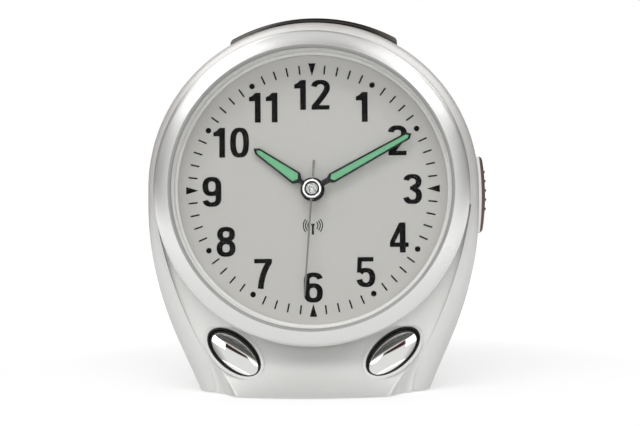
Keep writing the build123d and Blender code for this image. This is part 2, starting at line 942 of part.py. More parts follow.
with BuildPart() as motion_wheel:
    inward = motion_heading + 180
    gear(
        motion_at,
        *layer(2),
        motion_wheel_teeth,
        motion_module,
        inward + half_tooth / motion_wheel_teeth,
    )
    gear(
        motion_at,
        layer(2)[1],
        layer(1)[1],
        motion_pinion_teeth,
        motion_module,
        inward + half_tooth / motion_pinion_teeth,
    )
    disc(*motion_at, layer(2)[0], layer(1)[1], stud_radius + running_fit, Mode.SUBTRACT)
write(motion_wheel, "motion_wheel")

with BuildPart() as minute_wheel:
    gear(centre, *layer(3), minute_wheel_teeth, train_module, minute_idler_heading)
    gear(centre, layer(3)[1], layer(2)[1], minute_pinion_teeth, motion_module, motion_heading)
    disc(0, 0, layer(3)[0], minute_front, minute_tube_radius)
    disc(0, 0, layer(3)[0], minute_front, arbor_radius + running_fit, Mode.SUBTRACT)
write(minute_wheel, "minute_wheel")

# Minute motor train
with BuildPart() as minute_idler:
    inward = minute_idler_heading + 180
    gear(
        minute_idler_at,
        layer(4)[1],
        layer(3)[1],
        minute_idler_pinion_teeth,
        train_module,
        inward + half_tooth / minute_idler_pinion_teeth,
    )
    gear(minute_idler_at, *layer(4), minute_idler_teeth, train_module, minute_rotor_heading)
    disc(*minute_idler_at, inner_back - pivot_depth, inner_front + pivot_depth, arbor_radius)
write(minute_idler, "minute_idler")

with BuildPart() as minute_rotor:
    inward = minute_rotor_heading + 180
    gear(minute_rotor_at, *layer(4), rotor_teeth, train_module, inward + half_tooth / rotor_teeth)
    disc(*minute_rotor_at, minute_magnet_back, minute_magnet_back + magnet_height, magnet_radius)
    disc(*minute_rotor_at, inner_back - pivot_depth, inner_front + pivot_depth, arbor_radius)
write(minute_rotor, "minute_rotor")

with BuildPart() as minute_stator:
    stator_front = minute_stator_back + stator_thickness
    rotor_x, rotor_y = minute_rotor_at
    block(
        minute_core_x - core_width / 2,
        minute_core_x + core_width / 2,
        rotor_y - core_width / 2,
        minute_core_top,
        minute_stator_back,
        stator_front,
    )
    block(
        minute_core_x,
        rotor_x,
        rotor_y - core_width / 2,
        rotor_y + core_width / 2,
        minute_stator_back,
        stator_front,
    )
    disc(*minute_rotor_at, minute_stator_back, stator_front, magnet_radius + stator_gap + stator_ring)
    disc(
        *minute_rotor_at,
        minute_stator_back,
        stator_front,
        magnet_radius + stator_gap,
        Mode.SUBTRACT,
    )
write(minute_stator, "minute_stator")

minute_coil_plane = Plane(
    origin=face.from_local_coords(
        (minute_core_x, minute_coil_low, minute_stator_back + stator_thickness / 2)
    ),
    x_dir=face.x_dir,
    z_dir=face.y_dir,
)
with BuildPart() as minute_coil:
    disc(0, 0, 0, coil_length, coil_radius, plane=minute_coil_plane)
    block(
        minute_core_x - core_width / 2 - running_fit,
        minute_core_x + core_width / 2 + running_fit,
        minute_coil_low,
        minute_coil_low + coil_length,
        minute_stator_back - running_fit,
        minute_stator_back + stator_thickness + running_fit,
        Mode.SUBTRACT,
    )
write(minute_coil, "minute_coil")

# Second motor train
with BuildPart() as second_wheel:
    gear(centre, *layer(5), second_wheel_teeth, train_module, second_idler_heading)
    disc(0, 0, inner_back - pivot_depth, second_front, arbor_radius)
write(second_wheel, "second_wheel")

with BuildPart() as second_idler:
    inward = second_idler_heading + 180
    gear(
        second_idler_at,
        layer(6)[1],
        layer(5)[1],
        second_idler_pinion_teeth,
        train_module,
        inward + half_tooth / second_idler_pinion_teeth,
    )
    gear(second_idler_at, *layer(6), second_idler_teeth, train_module, second_rotor_heading)
    disc(*second_idler_at, inner_back + end_shake, layer(6)[0], 2 * stud_radius)
    disc(
        *second_idler_at,
        inner_back,
        layer(5)[1],
        stud_radius + running_fit,
        Mode.SUBTRACT,
    )
write(second_idler, "second_idler")

with BuildPart() as second_rotor:
    inward = second_rotor_heading + 180
    gear(second_rotor_at, *layer(6), rotor_teeth, train_module, inward + half_tooth / rotor_teeth)
    disc(*second_rotor_at, second_magnet_back, second_magnet_back + magnet_height, magnet_radius)
    disc(*second_rotor_at, inner_back - pivot_depth, inner_front + pivot_depth, arbor_radius)
write(second_rotor, "second_rotor")

with BuildPart() as second_stator:
    stator_front = second_stator_back + stator_thickness
    rotor_x, rotor_y = second_rotor_at
    yoke_left = rotor_x + magnet_radius
    block(
        second_core_left,
        yoke_left + core_width,
        second_core_y - core_width / 2,
        second_core_y + core_width / 2,
        second_stator_back,
        stator_front,
    )
    block(
        yoke_left,
        yoke_left + core_width,
        second_core_y,
        rotor_y,
        second_stator_back,
        stator_front,
    )
    disc(*second_rotor_at, second_stator_back, stator_front, magnet_radius + stator_gap + stator_ring)
    disc(
        *second_rotor_at,
        second_stator_back,
        stator_front,
        magnet_radius + stator_gap,
        Mode.SUBTRACT,
    )
write(second_stator, "second_stator")

second_coil_plane = Plane(
    origin=face.from_local_coords(
        (second_coil_left, second_core_y, second_stator_back + stator_thickness / 2)
    ),
    x_dir=face.y_dir,
    z_dir=face.x_dir,
)
with BuildPart() as second_coil:
    disc(0, 0, 0, coil_length, coil_radius, plane=second_coil_plane)
    block(
        second_coil_left,
        second_coil_right,
        second_core_y - core_width / 2 - running_fit,
        second_core_y + core_width / 2 + running_fit,
        second_stator_back - running_fit,
        second_stator_back + stator_thickness + running_fit,
        Mode.SUBTRACT,
    )
write(second_coil, "second_coil")


# Rear case: drum back with speaker grille, control slots, battery tray and screw posts
cell_tray = (-tray_half, tray_half, tray_low, tray_high)
bar_level = (bar_back + bar_front) / 2
neck_level_low = side_switch_centre - side_neck_depth
neck_level_high = side_switch_centre + side_neck_depth
case_posts = [(sign * x, y) for x, y in (upper_post, lower_post) for sign in (1, -1)]
board_posts = [(sign * board_post_spread, y) for y in board_post_rows for sign in (1, -1)]
speaker_screw_spots = [
    (x, y + speaker_centre)
    for x, y in around(speaker_screw_circle, speaker_screw_count, speaker_screw_start)
]
with BuildPart() as rear_hollow:
    extrude(case_outline(case_wall, rear_inner), amount=parting_level - rear_inner)
    fillet(rim_of(rear_hollow, back_level, rear_inner + press_gap), back_round - back_wall)
    split(bisect_by=floor_top, keep=Keep.TOP)
    for x, y in case_posts:
        disc(x, y, rear_inner, parting_level, case_post_radius, Mode.SUBTRACT)
    for x, y in board_posts:
        disc(x, y, rear_inner, main_board_back, board_post_radius, Mode.SUBTRACT)
        disc(x, y, rear_inner, main_board_front + slide_fit, peg_radius, Mode.SUBTRACT)
    for x, y in control_pegs:
        disc(x, y, rear_inner, control_board_back, board_post_radius, Mode.SUBTRACT)
        disc(x, y, rear_inner, control_board_front + slide_fit, peg_radius, Mode.SUBTRACT)
    for x, y in speaker_screw_spots:
        disc(x, y, rear_inner, speaker_back + speaker_flange, speaker_boss_radius, Mode.SUBTRACT)
    block(
        -bar_shelf_half,
        bar_shelf_half,
        bar_dome_seat - bar_shelf_thickness,
        bar_dome_seat,
        rear_inner,
        bar_front,
        Mode.SUBTRACT,
    )
    block(
        side_pocket_x - side_pad_thickness,
        case_radius,
        side_switch_low - side_switch_travel - side_pad_thickness,
        side_switch_high + side_switch_travel + side_pad_thickness,
        side_switch_centre - side_switch_half_depth - side_pad_thickness,
        side_switch_centre + side_switch_half_depth + slide_fit + back_wall,
        Mode.SUBTRACT,
    )
    block(
        -tray_half - tray_wall,
        tray_half + tray_wall,
        tray_low - tray_wall,
        tray_high + tray_wall,
        rear_inner,
        cell_floor + tray_wall,
        Mode.SUBTRACT,
    )

hinge_plane = Plane(
    origin=face.from_local_coords((0, hinge_y, hinge_level)),
    x_dir=face.y_dir,
    z_dir=face.x_dir,
)
hinge_reach = tray_half + hinge_pin_length
with BuildPart() as rear_case:
    extrude(case_outline(0, back_level), amount=parting_level - back_level)
    split(bisect_by=case_base, keep=Keep.TOP)
    fillet(rim_of(rear_case, back_level - back_wall, back_level + press_gap), back_round)
    add(rear_hollow.part, mode=Mode.SUBTRACT)
    block(*cell_tray, back_level - back_wall, cell_floor, Mode.SUBTRACT)
    disc(
        0,
        0,
        -hinge_reach - slide_fit,
        hinge_reach + slide_fit,
        hinge_pin_radius + 2 * running_fit,
        Mode.SUBTRACT,
        hinge_plane,
    )
    disc(0, tray_high, back_level, back_level + door_thickness / 2, door_notch_radius, Mode.SUBTRACT)
    for x, y in case_posts:
        disc(
            x,
            y,
            back_level - back_wall,
            case_screw_seat,
            case_screw_head_radius + slide_fit,
            Mode.SUBTRACT,
        )
        disc(x, y, case_screw_seat, parting_level, case_screw_radius + running_fit, Mode.SUBTRACT)
    for row in range(grille_rows):
        offset_y = grille_pitch * (row - (grille_rows - 1) / 2)
        half_row = sqrt(grille_radius**2 - offset_y**2)
        block(
            -half_row,
            half_row,
            speaker_centre + offset_y - grille_slot / 2,
            speaker_centre + offset_y + grille_slot / 2,
            back_level - back_wall,
            rear_inner,
            Mode.SUBTRACT,
        )
    for x, y in speaker_screw_spots:
        disc(x, y, rear_inner, speaker_back + speaker_flange, screw_radius, Mode.SUBTRACT)
    block(
        -bar_half_width - slide_fit,
        bar_half_width + slide_fit,
        bar_dome_seat,
        bar_radius + case_rise,
        bar_back - slide_fit,
        bar_front + slide_fit,
        Mode.SUBTRACT,
    )
    block(
        side_pocket_x,
        side_switch_x,
        side_switch_low - side_switch_travel - slide_fit,
        side_switch_high + side_switch_travel + slide_fit,
        side_switch_centre - side_switch_half_depth - slide_fit,
        side_switch_centre + side_switch_half_depth + slide_fit,
        Mode.SUBTRACT,
    )
    block(
        main_board_tongue,
        side_switch_x,
        -side_neck_half - side_switch_travel - slide_fit,
        side_neck_half + side_switch_travel + slide_fit,
        neck_level_low - slide_fit,
        neck_level_high + slide_fit,
        Mode.SUBTRACT,
    )
    block(
        zone_centre[0] - zone_neck_half - zone_travel - slide_fit,
        zone_centre[0] + zone_neck_half + zone_travel + slide_fit,
        zone_centre[1] - zone_neck_half - slide_fit,
        zone_centre[1] + zone_neck_half + slide_fit,
        back_level - back_wall,
        rear_inner,
        Mode.SUBTRACT,
    )
    disc(*sync_centre, back_level - back_wall, rear_inner, sync_radius + slide_fit, Mode.SUBTRACT)
    extrude(pad_outline(running_fit), amount=case_lift + pad_sink, mode=Mode.SUBTRACT)
write(rear_case, "rear_case")

# Soft pad under the base
with BuildPart() as base_pad:
    extrude(pad_outline(0), amount=case_lift + pad_sink)
write(base_pad, "base_pad")

with BuildPart() as case_screws:
    for x, y in case_posts:
        disc(x, y, case_screw_seat - case_screw_head_height, case_screw_seat, case_screw_head_radius)
        disc(
            x,
            y,
            case_screw_seat,
            dial_plate_back - 2 * slide_fit - case_wall,
            case_screw_radius - press_gap,
        )
write(case_screws, "case_screws")

# Oval front buttons, their dark wells, rubber domes and contact board
with BuildPart() as button_sleeves:
    for sketch in ovals(button_gap + sleeve_wall - press_gap, -sleeve_depth):
        extrude(sketch, amount=sleeve_depth - sleeve_recess)
    for sketch in ovals(button_gap, -sleeve_depth):
        extrude(sketch, amount=sleeve_depth, mode=Mode.SUBTRACT)
write(button_sleeves, "button_sleeves")


def button(turn):
    """One chrome button: a crowned oval on a flange and a stem."""
    spread = button_spread if turn > 0 else -button_spread
    flange = oval(button_gap + sleeve_wall - slide_fit, flange_front, turn)
    with BuildPart() as shape:
        extrude(oval(0, flange_front, turn), amount=-button_edge_depth - flange_front)
        loft([oval(-index * button_crown_step, crown_level(index), turn) for index in range(3)])
        extrude(flange, amount=-button_flange_thickness)
        disc(
            spread,
            0,
            -button_stem_depth,
            flange_front - button_flange_thickness,
            button_stem_radius,
            plane=button_datum,
        )
    return shape


def crown_level(index):
    """Height of one of the crown's outlines below the collar rim."""
    return -button_edge_depth + button_crown * sqrt(index / 2)


def rubber_dome(spread):
    with BuildPart() as shape:
        with Locations(button_datum.location * Location((spread, 0, button_board_level))):
            Cone(dome_radius, button_stem_radius, dome_height, align=stand)
    return shape


left_button = button(-button_turn)
write(left_button, "left_button")
right_button = button(button_turn)
write(right_button, "right_button")
left_dome = rubber_dome(-button_spread)
write(left_dome, "left_dome")
right_dome = rubber_dome(button_spread)
write(right_dome, "right_dome")

with BuildPart() as button_board:
    block(
        -button_board_half,
        button_board_half,
        button_board_low,
        button_board_high,
        button_board_level - board_thickness,
        button_board_level,
        plane=button_datum,
    )
    for sign in (1, -1):
        disc(
            sign * button_pillar[0],
            button_pillar[1],
            button_board_level - board_thickness,
            button_board_level,
            peg_radius + running_fit,
            Mode.SUBTRACT,
            button_datum,
        )
write(button_board, "button_board")

# Chrome time bar on top, with a flange under the case wall and a plunger on a rubber dome
flange_radius = case_radius - case_wall - slide_fit
plunger_low = bar_dome_seat + dome_height + press_gap
with BuildPart() as talk_bar:
    with BuildSketch(face.offset(bar_back)) as bar_shape:
        with Locations((0, case_rise)):
            Circle(bar_radius)
            Circle(flange_radius, mode=Mode.SUBTRACT)
        with Locations((0, bar_radius)):
            Rectangle(2 * bar_half_width, bar_radius, mode=Mode.INTERSECT)
    extrude(bar_shape.sketch, amount=bar_front - bar_back)
    bar_top_edges = []
    for edge in talk_bar.edges():
        ends = [local(edge @ place) for place in (0, 0.5, 1)]
        radii = [sqrt(point.X**2 + (point.Y - case_rise) ** 2) for point in ends]
        if min(radii) > bar_radius - press_gap:
            bar_top_edges.append(edge)
    fillet(bar_top_edges, bar_round)
    with BuildSketch(face.offset(bar_back - bar_flange_overhang)) as flange_shape:
        with Locations((0, case_rise)):
            Circle(flange_radius)
            Circle(flange_radius - bar_flange, mode=Mode.SUBTRACT)
        with Locations((0, bar_radius)):
            Rectangle(
                2 * (bar_half_width + bar_flange_reach),
                bar_radius,
                mode=Mode.INTERSECT,
            )
    extrude(flange_shape.sketch, amount=bar_front - bar_back + 2 * bar_flange_overhang)
    block(
        -bar_plunger_half,
        bar_plunger_half,
        plunger_low,
        case_rise + flange_radius - bar_flange / 2,
        bar_level - dome_radius,
        bar_level + dome_radius,
    )
write(talk_bar, "talk_bar")

bar_dome_plane = Plane(
    origin=face.from_local_coords((0, bar_dome_seat, bar_level)),
    x_dir=face.x_dir,
    z_dir=face.y_dir,
)
with BuildPart() as talk_dome:
    with Locations(bar_dome_plane.location):
        Cone(dome_radius, button_stem_radius, dome_height, align=stand)
write(talk_dome, "talk_dome")

# Ridged slide switch on the right side
slider_face = side_switch_x - side_ridge_height
with BuildPart() as side_switch:
    block(
        side_pocket_x + slide_fit,
        slider_face,
        side_switch_low,
        side_switch_high,
        side_switch_centre - side_switch_half_depth,
        side_switch_centre + side_switch_half_depth,
    )
    slider_ends = []
    for edge in side_switch.edges():
        middle = local(edge @ 0.5)
        at_end = abs(local(edge @ 0).Z - local(edge @ 1).Z) > side_switch_half_depth
        if at_end and abs(middle.X - slider_face) < press_gap:
            slider_ends.append(edge)
    fillet(slider_ends, side_end_round)
    for index in range(side_ridges):
        ridge_y = side_ridge_pitch * (index - (side_ridges - 1) / 2)
        ridge_plane = Plane(
            origin=face.from_local_coords(
                (slider_face, ridge_y, side_switch_centre - side_switch_half_depth)
            ),
            x_dir=face.x_dir,
            z_dir=face.z_dir,
        )
        disc(0, 0, 0, 2 * side_switch_half_depth, side_ridge_height, plane=ridge_plane)
    block(
        main_board_tongue + slide_fit,
        side_pocket_x + slide_fit,
        -side_neck_half,
        side_neck_half,
        neck_level_low,
        neck_level_high,
    )
write(side_switch, "side_switch")

with BuildPart() as side_switch_body:
    block(
        main_board_tongue - side_body_length,
        main_board_tongue,
        -side_body_half,
        side_body_half,
        main_board_front,
        main_board_front + side_body_height,
    )
write(side_switch_body, "side_switch_body")

# Main board with the voice chip
with BuildPart() as main_board:
    block(
        -main_board_half_width,
        main_board_half_width,
        main_board_low,
        main_board_high,
        main_board_back,
        main_board_front,
    )
    block(
        main_board_half_width,
        main_board_tongue,
        -main_board_tongue_half,
        main_board_tongue_half,
        main_board_back,
        main_board_front,
    )
    for x, y in board_posts:
        disc(x, y, main_board_back, main_board_front, peg_radius + running_fit, Mode.SUBTRACT)
write(main_board, "main_board")

with BuildPart() as voice_chip:
    block(
        chip_centre[0] - chip_half,
        chip_centre[0] + chip_half,
        chip_centre[1] - chip_half,
        chip_centre[1] + chip_half,
        main_board_back - chip_height,
        main_board_back,
    )
write(voice_chip, "voice_chip")

# Speaker facing the rear grille
speaker_section = Plane(
    origin=face.from_local_coords((0, speaker_centre, 0)),
    x_dir=face.x_dir,
    z_dir=-face.y_dir,
)
speaker_axis = Axis(speaker_section.origin, face.z_dir)
with BuildPart() as speaker_frame:
    with BuildSketch(speaker_section):
        with BuildLine():
            Polyline(
                (0, magnet_back),
                (throat_radius, magnet_back),
                (throat_radius, throat_level),
                (cone_radius + basket_wall, speaker_back + speaker_flange),
                (speaker_radius, speaker_back + speaker_flange),
                (speaker_radius, speaker_back),
                (cone_radius, speaker_back),
                (cone_radius, speaker_back + speaker_flange - speaker_cone_gap),
                (throat_radius - basket_wall, throat_level - basket_wall),
                (0, throat_level - basket_wall),
                close=True,
            )
        make_face()
    revolve(axis=speaker_axis)
write(speaker_frame, "speaker_frame")

cone_rim = speaker_back + cone_thickness
cone_floor = throat_level - basket_wall - 3 * cone_thickness
with BuildPart() as speaker_cone:
    with BuildSketch(speaker_section):
        with BuildLine():
            Polyline(
                (cone_radius - speaker_cone_gap, cone_rim),
                (cone_radius - speaker_cone_gap, cone_rim + cone_thickness),
                (throat_radius / 2, cone_floor),
                (0, cone_floor),
                (0, cone_floor - cone_thickness),
                (throat_radius / 2, cone_floor - cone_thickness),
                close=True,
            )
        make_face()
    revolve(axis=speaker_axis)
write(speaker_cone, "speaker_cone")

with BuildPart() as speaker_screws:
    head_back = speaker_back + speaker_flange
    for x, y in speaker_screw_spots:
        disc(x, y, head_back, head_back + screw_head_height, speaker_head_radius)
        disc(x, y, rear_inner + slide_fit, head_back, screw_radius - press_gap)
write(speaker_screws, "speaker_screws")

# Rear controls: zone slide switch and reception button on their own board
with BuildPart() as control_board:
    block(
        control_left,
        control_right,
        control_low,
        control_high,
        control_board_back,
        control_board_front,
    )
    for x, y in control_pegs:
        disc(x, y, control_board_back, control_board_front, peg_radius + running_fit, Mode.SUBTRACT)
write(control_board, "control_board")

with BuildPart() as zone_switch_body:
    block(
        zone_centre[0] - zone_body_half,
        zone_centre[0] + zone_body_half,
        zone_centre[1] - zone_body_half_height,
        zone_centre[1] + zone_body_half_height,
        control_board_back - zone_body_depth,
        control_board_back,
    )
write(zone_switch_body, "zone_switch_body")

with BuildPart() as zone_switch:
    block(
        zone_centre[0] - zone_knob_half,
        zone_centre[0] + zone_knob_half,
        zone_centre[1] - zone_knob_height,
        zone_centre[1] + zone_knob_height,
        back_level - slide_fit - zone_proud,
        back_level - slide_fit,
    )
    block(
        zone_centre[0] - zone_neck_half,
        zone_centre[0] + zone_neck_half,
        zone_centre[1] - zone_neck_half,
        zone_centre[1] + zone_neck_half,
        back_level - slide_fit,
        control_board_back - zone_body_depth - slide_fit,
    )
write(zone_switch, "zone_switch")

sync_dome_back = control_board_back - dome_height
sync_flange_back = rear_inner + slide_fit
with BuildPart() as sync_button:
    disc(*sync_centre, back_level - sync_proud, sync_flange_back, sync_radius)
    disc(
        *sync_centre,
        sync_flange_back,
        sync_dome_back - press_gap,
        sync_flange_radius,
    )
    fillet(sync_button.edges().group_by(Axis(face.origin, face.z_dir))[0], sync_proud / 2)
write(sync_button, "sync_button")

sync_dome_plane = Plane(
    origin=face.from_local_coords((*sync_centre, control_board_back)),
    x_dir=face.x_dir,
    z_dir=-face.z_dir,
)
with BuildPart() as sync_dome:
    with Locations(sync_dome_plane.location):
        Cone(sync_dome_radius, sync_radius / 2, dome_height, align=stand)
write(sync_dome, "sync_dome")

# Battery compartment: door on pin hinges, two cells, springs and contact plates
with BuildPart() as battery_door:
    block(
        -tray_half + door_gap,
        tray_half - door_gap,
        door_low,
        door_high,
        back_level,
        back_level + door_thickness,
    )
    for index in range(door_ribs):
        rib_y = door_high - door_rib_pitch * (index + 2)
        block(
            -door_rib_half,
            door_rib_half,
            rib_y - door_rib_pitch / 4,
            rib_y + door_rib_pitch / 4,
            back_level,
            back_level + door_thickness / 3,
            Mode.SUBTRACT,
        )
    for start in (-hinge_reach, tray_half - hinge_pin_length):
        disc(0, 0, start, start + 2 * hinge_pin_length, hinge_pin_radius, plane=hinge_plane)
write(battery_door, "battery_door")


def cell_plane(row, sign):
    """A plane across the tray's spring end, looking along the cell to its nub."""
    return Plane(
        origin=face.from_local_coords((-sign * (tray_half - contact_thickness), row, cell_level)),
        x_dir=face.y_dir,
        z_dir=face.x_dir * sign,
    )


def cell(row, sign):
    with BuildPart() as shape:
        plane = cell_plane(row, sign)
        disc(0, 0, spring_length, spring_length + cell_length, cell_radius, plane=plane)
        fillet(shape.edges(), cell_round)
        disc(0, 0, spring_length, spring_length + cell_total, cell_nub_radius, plane=plane)
    return shape


battery_upper = cell(cell_rows[0], 1)
write(battery_upper, "battery_upper")
battery_lower = cell(cell_rows[1], -1)
write(battery_lower, "battery_lower")

with BuildPart() as battery_springs:
    for row, sign in zip(cell_rows, (1, -1)):
        with Locations(cell_plane(row, sign).location):
            Cone(spring_radius, spring_tip_radius, spring_length, align=stand)
write(battery_springs, "battery_springs")

with BuildPart() as battery_plates:
    for row in cell_rows:
        for outer in (-tray_half, tray_half - contact_thickness):
            block(
                outer,
                outer + contact_thickness,
                row - contact_half_width,
                row + contact_half_width,
                cell_level - contact_half_width,
                cell_level + contact_half_width,
            )
write(battery_plates, "battery_plates")

# Ferrite rod with its coil, clipped to the dial plate
rod_plane = Plane(
    origin=face.from_local_coords((0, rod_height, rod_level)),
    x_dir=face.y_dir,
    z_dir=face.x_dir,
)
with BuildPart() as antenna_rod:
    disc(0, 0, -rod_length / 2, rod_length / 2, rod_radius, plane=rod_plane)
write(antenna_rod, "antenna_rod")

with BuildPart() as antenna_coil:
    disc(0, 0, rod_coil_left, rod_coil_right, rod_radius + rod_coil_wall, plane=rod_plane)
    disc(0, 0, rod_coil_left, rod_coil_right, rod_radius + running_fit, Mode.SUBTRACT, rod_plane)
write(antenna_coil, "antenna_coil")

with BuildPart() as antenna_holders:
    for sign in (1, -1):
        holder_x = sign * holder_spacing
        block(
            holder_x - holder_half,
            holder_x + holder_half,
            rod_height - rod_radius - holder_wall,
            rod_height + rod_radius + holder_wall,
            rod_level - rod_radius - holder_wall,
            dial_plate_back,
        )
    disc(0, 0, -rod_length, rod_length, rod_radius + running_fit, Mode.SUBTRACT, rod_plane)
write(antenna_holders, "antenna_holders")
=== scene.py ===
from math import cos, pi, radians, sin

import bmesh
import bpy
import numpy as np
from mathutils import Matrix, Vector


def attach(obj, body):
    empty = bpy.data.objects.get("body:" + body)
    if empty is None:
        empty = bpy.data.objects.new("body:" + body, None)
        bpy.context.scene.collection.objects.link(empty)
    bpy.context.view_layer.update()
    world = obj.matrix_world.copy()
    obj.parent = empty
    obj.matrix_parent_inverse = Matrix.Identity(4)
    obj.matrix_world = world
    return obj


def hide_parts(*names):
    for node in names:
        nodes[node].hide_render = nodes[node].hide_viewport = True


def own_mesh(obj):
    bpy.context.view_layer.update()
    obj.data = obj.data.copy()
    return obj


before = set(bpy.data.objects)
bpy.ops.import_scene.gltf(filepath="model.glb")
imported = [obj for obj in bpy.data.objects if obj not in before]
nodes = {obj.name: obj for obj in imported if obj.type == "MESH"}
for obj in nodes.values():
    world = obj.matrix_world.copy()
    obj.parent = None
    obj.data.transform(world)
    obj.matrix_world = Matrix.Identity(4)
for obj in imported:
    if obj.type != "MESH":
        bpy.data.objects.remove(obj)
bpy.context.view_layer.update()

# The dial's own axes: x to the right, y up the dial, n out of it, in millimetres from the dial centre
lean = radians(5)
dialCentre = np.array([0.0, -7.0, 62.0])
axisX = np.array([1.0, 0.0, 0.0])
axisY = np.array([0.0, sin(lean), cos(lean)])
axisN = np.array([0.0, -cos(lean), sin(lean)])


def place(x, y, n):
    x, y, n = np.broadcast_arrays(*[np.asarray(part, float) for part in (x, y, n)])
    points = dialCentre + x[..., None] * axisX + y[..., None] * axisY + n[..., None] * axisN
    return points / 1000


def gridFaces(rows, columns, closeRows=False, closeColumns=False, start=0):
    row = np.arange(rows if closeRows else rows - 1)
    column = np.arange(columns if closeColumns else columns - 1)
    a, b = np.meshgrid(row, column, indexing="ij")
    nextA, nextB = (a + 1) % rows, (b + 1) % columns
    corners = (a * columns + b, nextA * columns + b, nextA * columns + nextB, a * columns + nextB)
    return np.stack(corners, -1).reshape(-1, 4) + start


def tubeFaces(rows, columns, start=0):
    # A grid that closes round its columns, with one face over its first row and one over its last
    ring = np.arange(columns) + start
    ends = [ring.tolist(), (ring + (rows - 1) * columns).tolist()]
    return gridFaces(rows, columns, False, True, start).tolist() + ends


def turnOut(mesh):
    # The faces of a closed shell are turned to point outwards
    shell = bmesh.new()
    shell.from_mesh(mesh)
    bmesh.ops.recalc_face_normals(shell, faces=shell.faces)
    shell.to_mesh(mesh)
    shell.free()


def addPiece(name, points, faces, body, material, smooth=True, solid=True):
    mesh = bpy.data.meshes.new(name)
    mesh.from_pydata(np.asarray(points).reshape(-1, 3).tolist(), [], [list(face) for face in faces])
    if solid:
        turnOut(mesh)
    mesh.polygons.foreach_set("use_smooth", np.full(len(mesh.polygons), smooth))
    mesh.update()
    piece = bpy.data.objects.new(name, mesh)
    bpy.context.scene.collection.objects.link(piece)
    mesh.materials.append(material)
    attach(piece, body)
    return piece


# Materials: each is one principled shader whose colour, roughness and bump vary on object coordinates.
# After the colour, surface takes the colour's spread and grain, the roughness and its spread, the share of
# metal, the bump in metres and its scale
def newMaterial(name):
    material = bpy.data.materials.new(name)
    material.use_nodes = True
    tree = material.node_tree
    shader = tree.nodes["Principled BSDF"]
    return material, tree, shader


def addNode(tree, kind, **values):
    node = tree.nodes.new(kind)
    for key, value in values.items():
        if key in node.inputs:
            node.inputs[key].default_value = value
        else:
            setattr(node, key, value)
    return node


def noiseOf(tree, coordinate, scale, detail=2.0):
    noise = addNode(tree, "ShaderNodeTexNoise", Scale=scale, Detail=detail)
    tree.links.new(coordinate, noise.inputs["Vector"])
    return noise.outputs["Fac"]


def rangeOf(tree, value, low, high, fromLow=0.3, fromHigh=0.7):
    ramp = addNode(tree, "ShaderNodeMapRange")
    for key, number in zip(("From Min", "From Max", "To Min", "To Max"), (fromLow, fromHigh, low, high)):
        ramp.inputs[key].default_value = number
    tree.links.new(value, ramp.inputs["Value"])
    return ramp.outputs["Result"]


def colourMix(tree, value, first, second):
    mix = addNode(tree, "ShaderNodeMix", data_type="RGBA")
    mix.inputs["A"].default_value = (*first, 1)
    mix.inputs["B"].default_value = (*second, 1)
    tree.links.new(value, mix.inputs["Factor"])
    return mix.outputs["Result"]


def overlay(tree, base, factor, colour):
    layer = addNode(tree, "ShaderNodeMix", data_type="RGBA")
    layer.inputs["B"].default_value = (*colour, 1)
    tree.links.new(factor, layer.inputs["Factor"])
    tree.links.new(base, layer.inputs["A"])
    return layer.outputs["Result"]


def combine(tree, operation, *sockets):
    node = addNode(tree, "ShaderNodeMath", operation=operation)
    for index, socket in enumerate(sockets):
        tree.links.new(socket, node.inputs[index])
    return node.outputs[0]


# Wear that all surfaces share: detail of the fine grain, scale of the broad patches, strength of the bumps
wear = {"fineDetail": 3.0, "broadScale": 60, "relief": 0.5}


def surface(name, colour, spread, grain, rough, roughSpread, metal=0.0, bump=0.0, bumpScale=600,
            gloss=0.5):
    material, tree, shader = newMaterial(name)
    coordinate = addNode(tree, "ShaderNodeTexCoord").outputs["Object"]
    fine = noiseOf(tree, coordinate, grain, wear["fineDetail"])
    dark = [max(0.0, channel * (1 - spread)) for channel in colour]
    light = [min(1.0, channel * (1 + spread)) for channel in colour]
    factor = rangeOf(tree, fine, 0.0, 1.0)
    tree.links.new(colourMix(tree, factor, dark, light), shader.inputs["Base Color"])
    broad = noiseOf(tree, coordinate, wear["broadScale"])
    uneven = rangeOf(tree, broad, rough - roughSpread, rough + roughSpread)
    tree.links.new(uneven, shader.inputs["Roughness"])
    shader.inputs["Metallic"].default_value = metal
    shader.inputs["Specular IOR Level"].default_value = gloss
    if bump:
        height = noiseOf(tree, coordinate, bumpScale)
        relief = addNode(tree, "ShaderNodeBump", Strength=wear["relief"], Distance=bump)
        tree.links.new(height, relief.inputs["Height"])
        tree.links.new(relief.outputs["Normal"], shader.inputs["Normal"])
    return material


caseSilver = surface("case_silver", (0.70, 0.70, 0.685), 0.05, 5000, 0.38, 0.03, 0.25, 0.00001, 900)
bezelSilver = surface("bezel_silver", (0.70, 0.70, 0.69), 0.04, 5000, 0.30, 0.03, 0.72, 0.000006, 900)
# A darker copy of the bezel silver for the inner chamfer: painted shade
bezelEdgeShade = surface("bezel_edge_shade", (0.33, 0.33, 0.325), 0.04, 5000, 0.45, 0.03, 0.1)
# Dark grey for the bezel's outer wall down in the groove by the case: painted groove shade
grooveShade = surface("groove_shade_grey", (0.17, 0.17, 0.17), 0.05, 3000, 0.5, 0.05)
chrome = surface("chrome_plate", (0.83, 0.83, 0.82), 0.01, 400, 0.05, 0.02, 1.0)
darkChrome = surface("dark_chrome", (0.075, 0.07, 0.067), 0.03, 400, 0.1, 0.03, 1.0)
warmChrome = surface("warm_chrome", (0.15, 0.105, 0.095), 0.03, 400, 0.12, 0.03, 1.0)
capMetal = surface("cap_metal", (0.26, 0.26, 0.255), 0.7, 2600, 0.2, 0.06, 1.0, 0.00004, 2600)
capRim = surface("cap_rim", (0.52, 0.52, 0.51), 0.05, 2600, 0.14, 0.04, 1.0)
dialPrint = surface("dial_print", (0.49, 0.48, 0.46), 0.02, 3000, 0.62, 0.05, 0.0, 0.000004, 3000,
                    gloss=0.2)
dialTrim = surface("dial_trim", (0.70, 0.69, 0.67), 0.02, 2500, 0.45, 0.05)
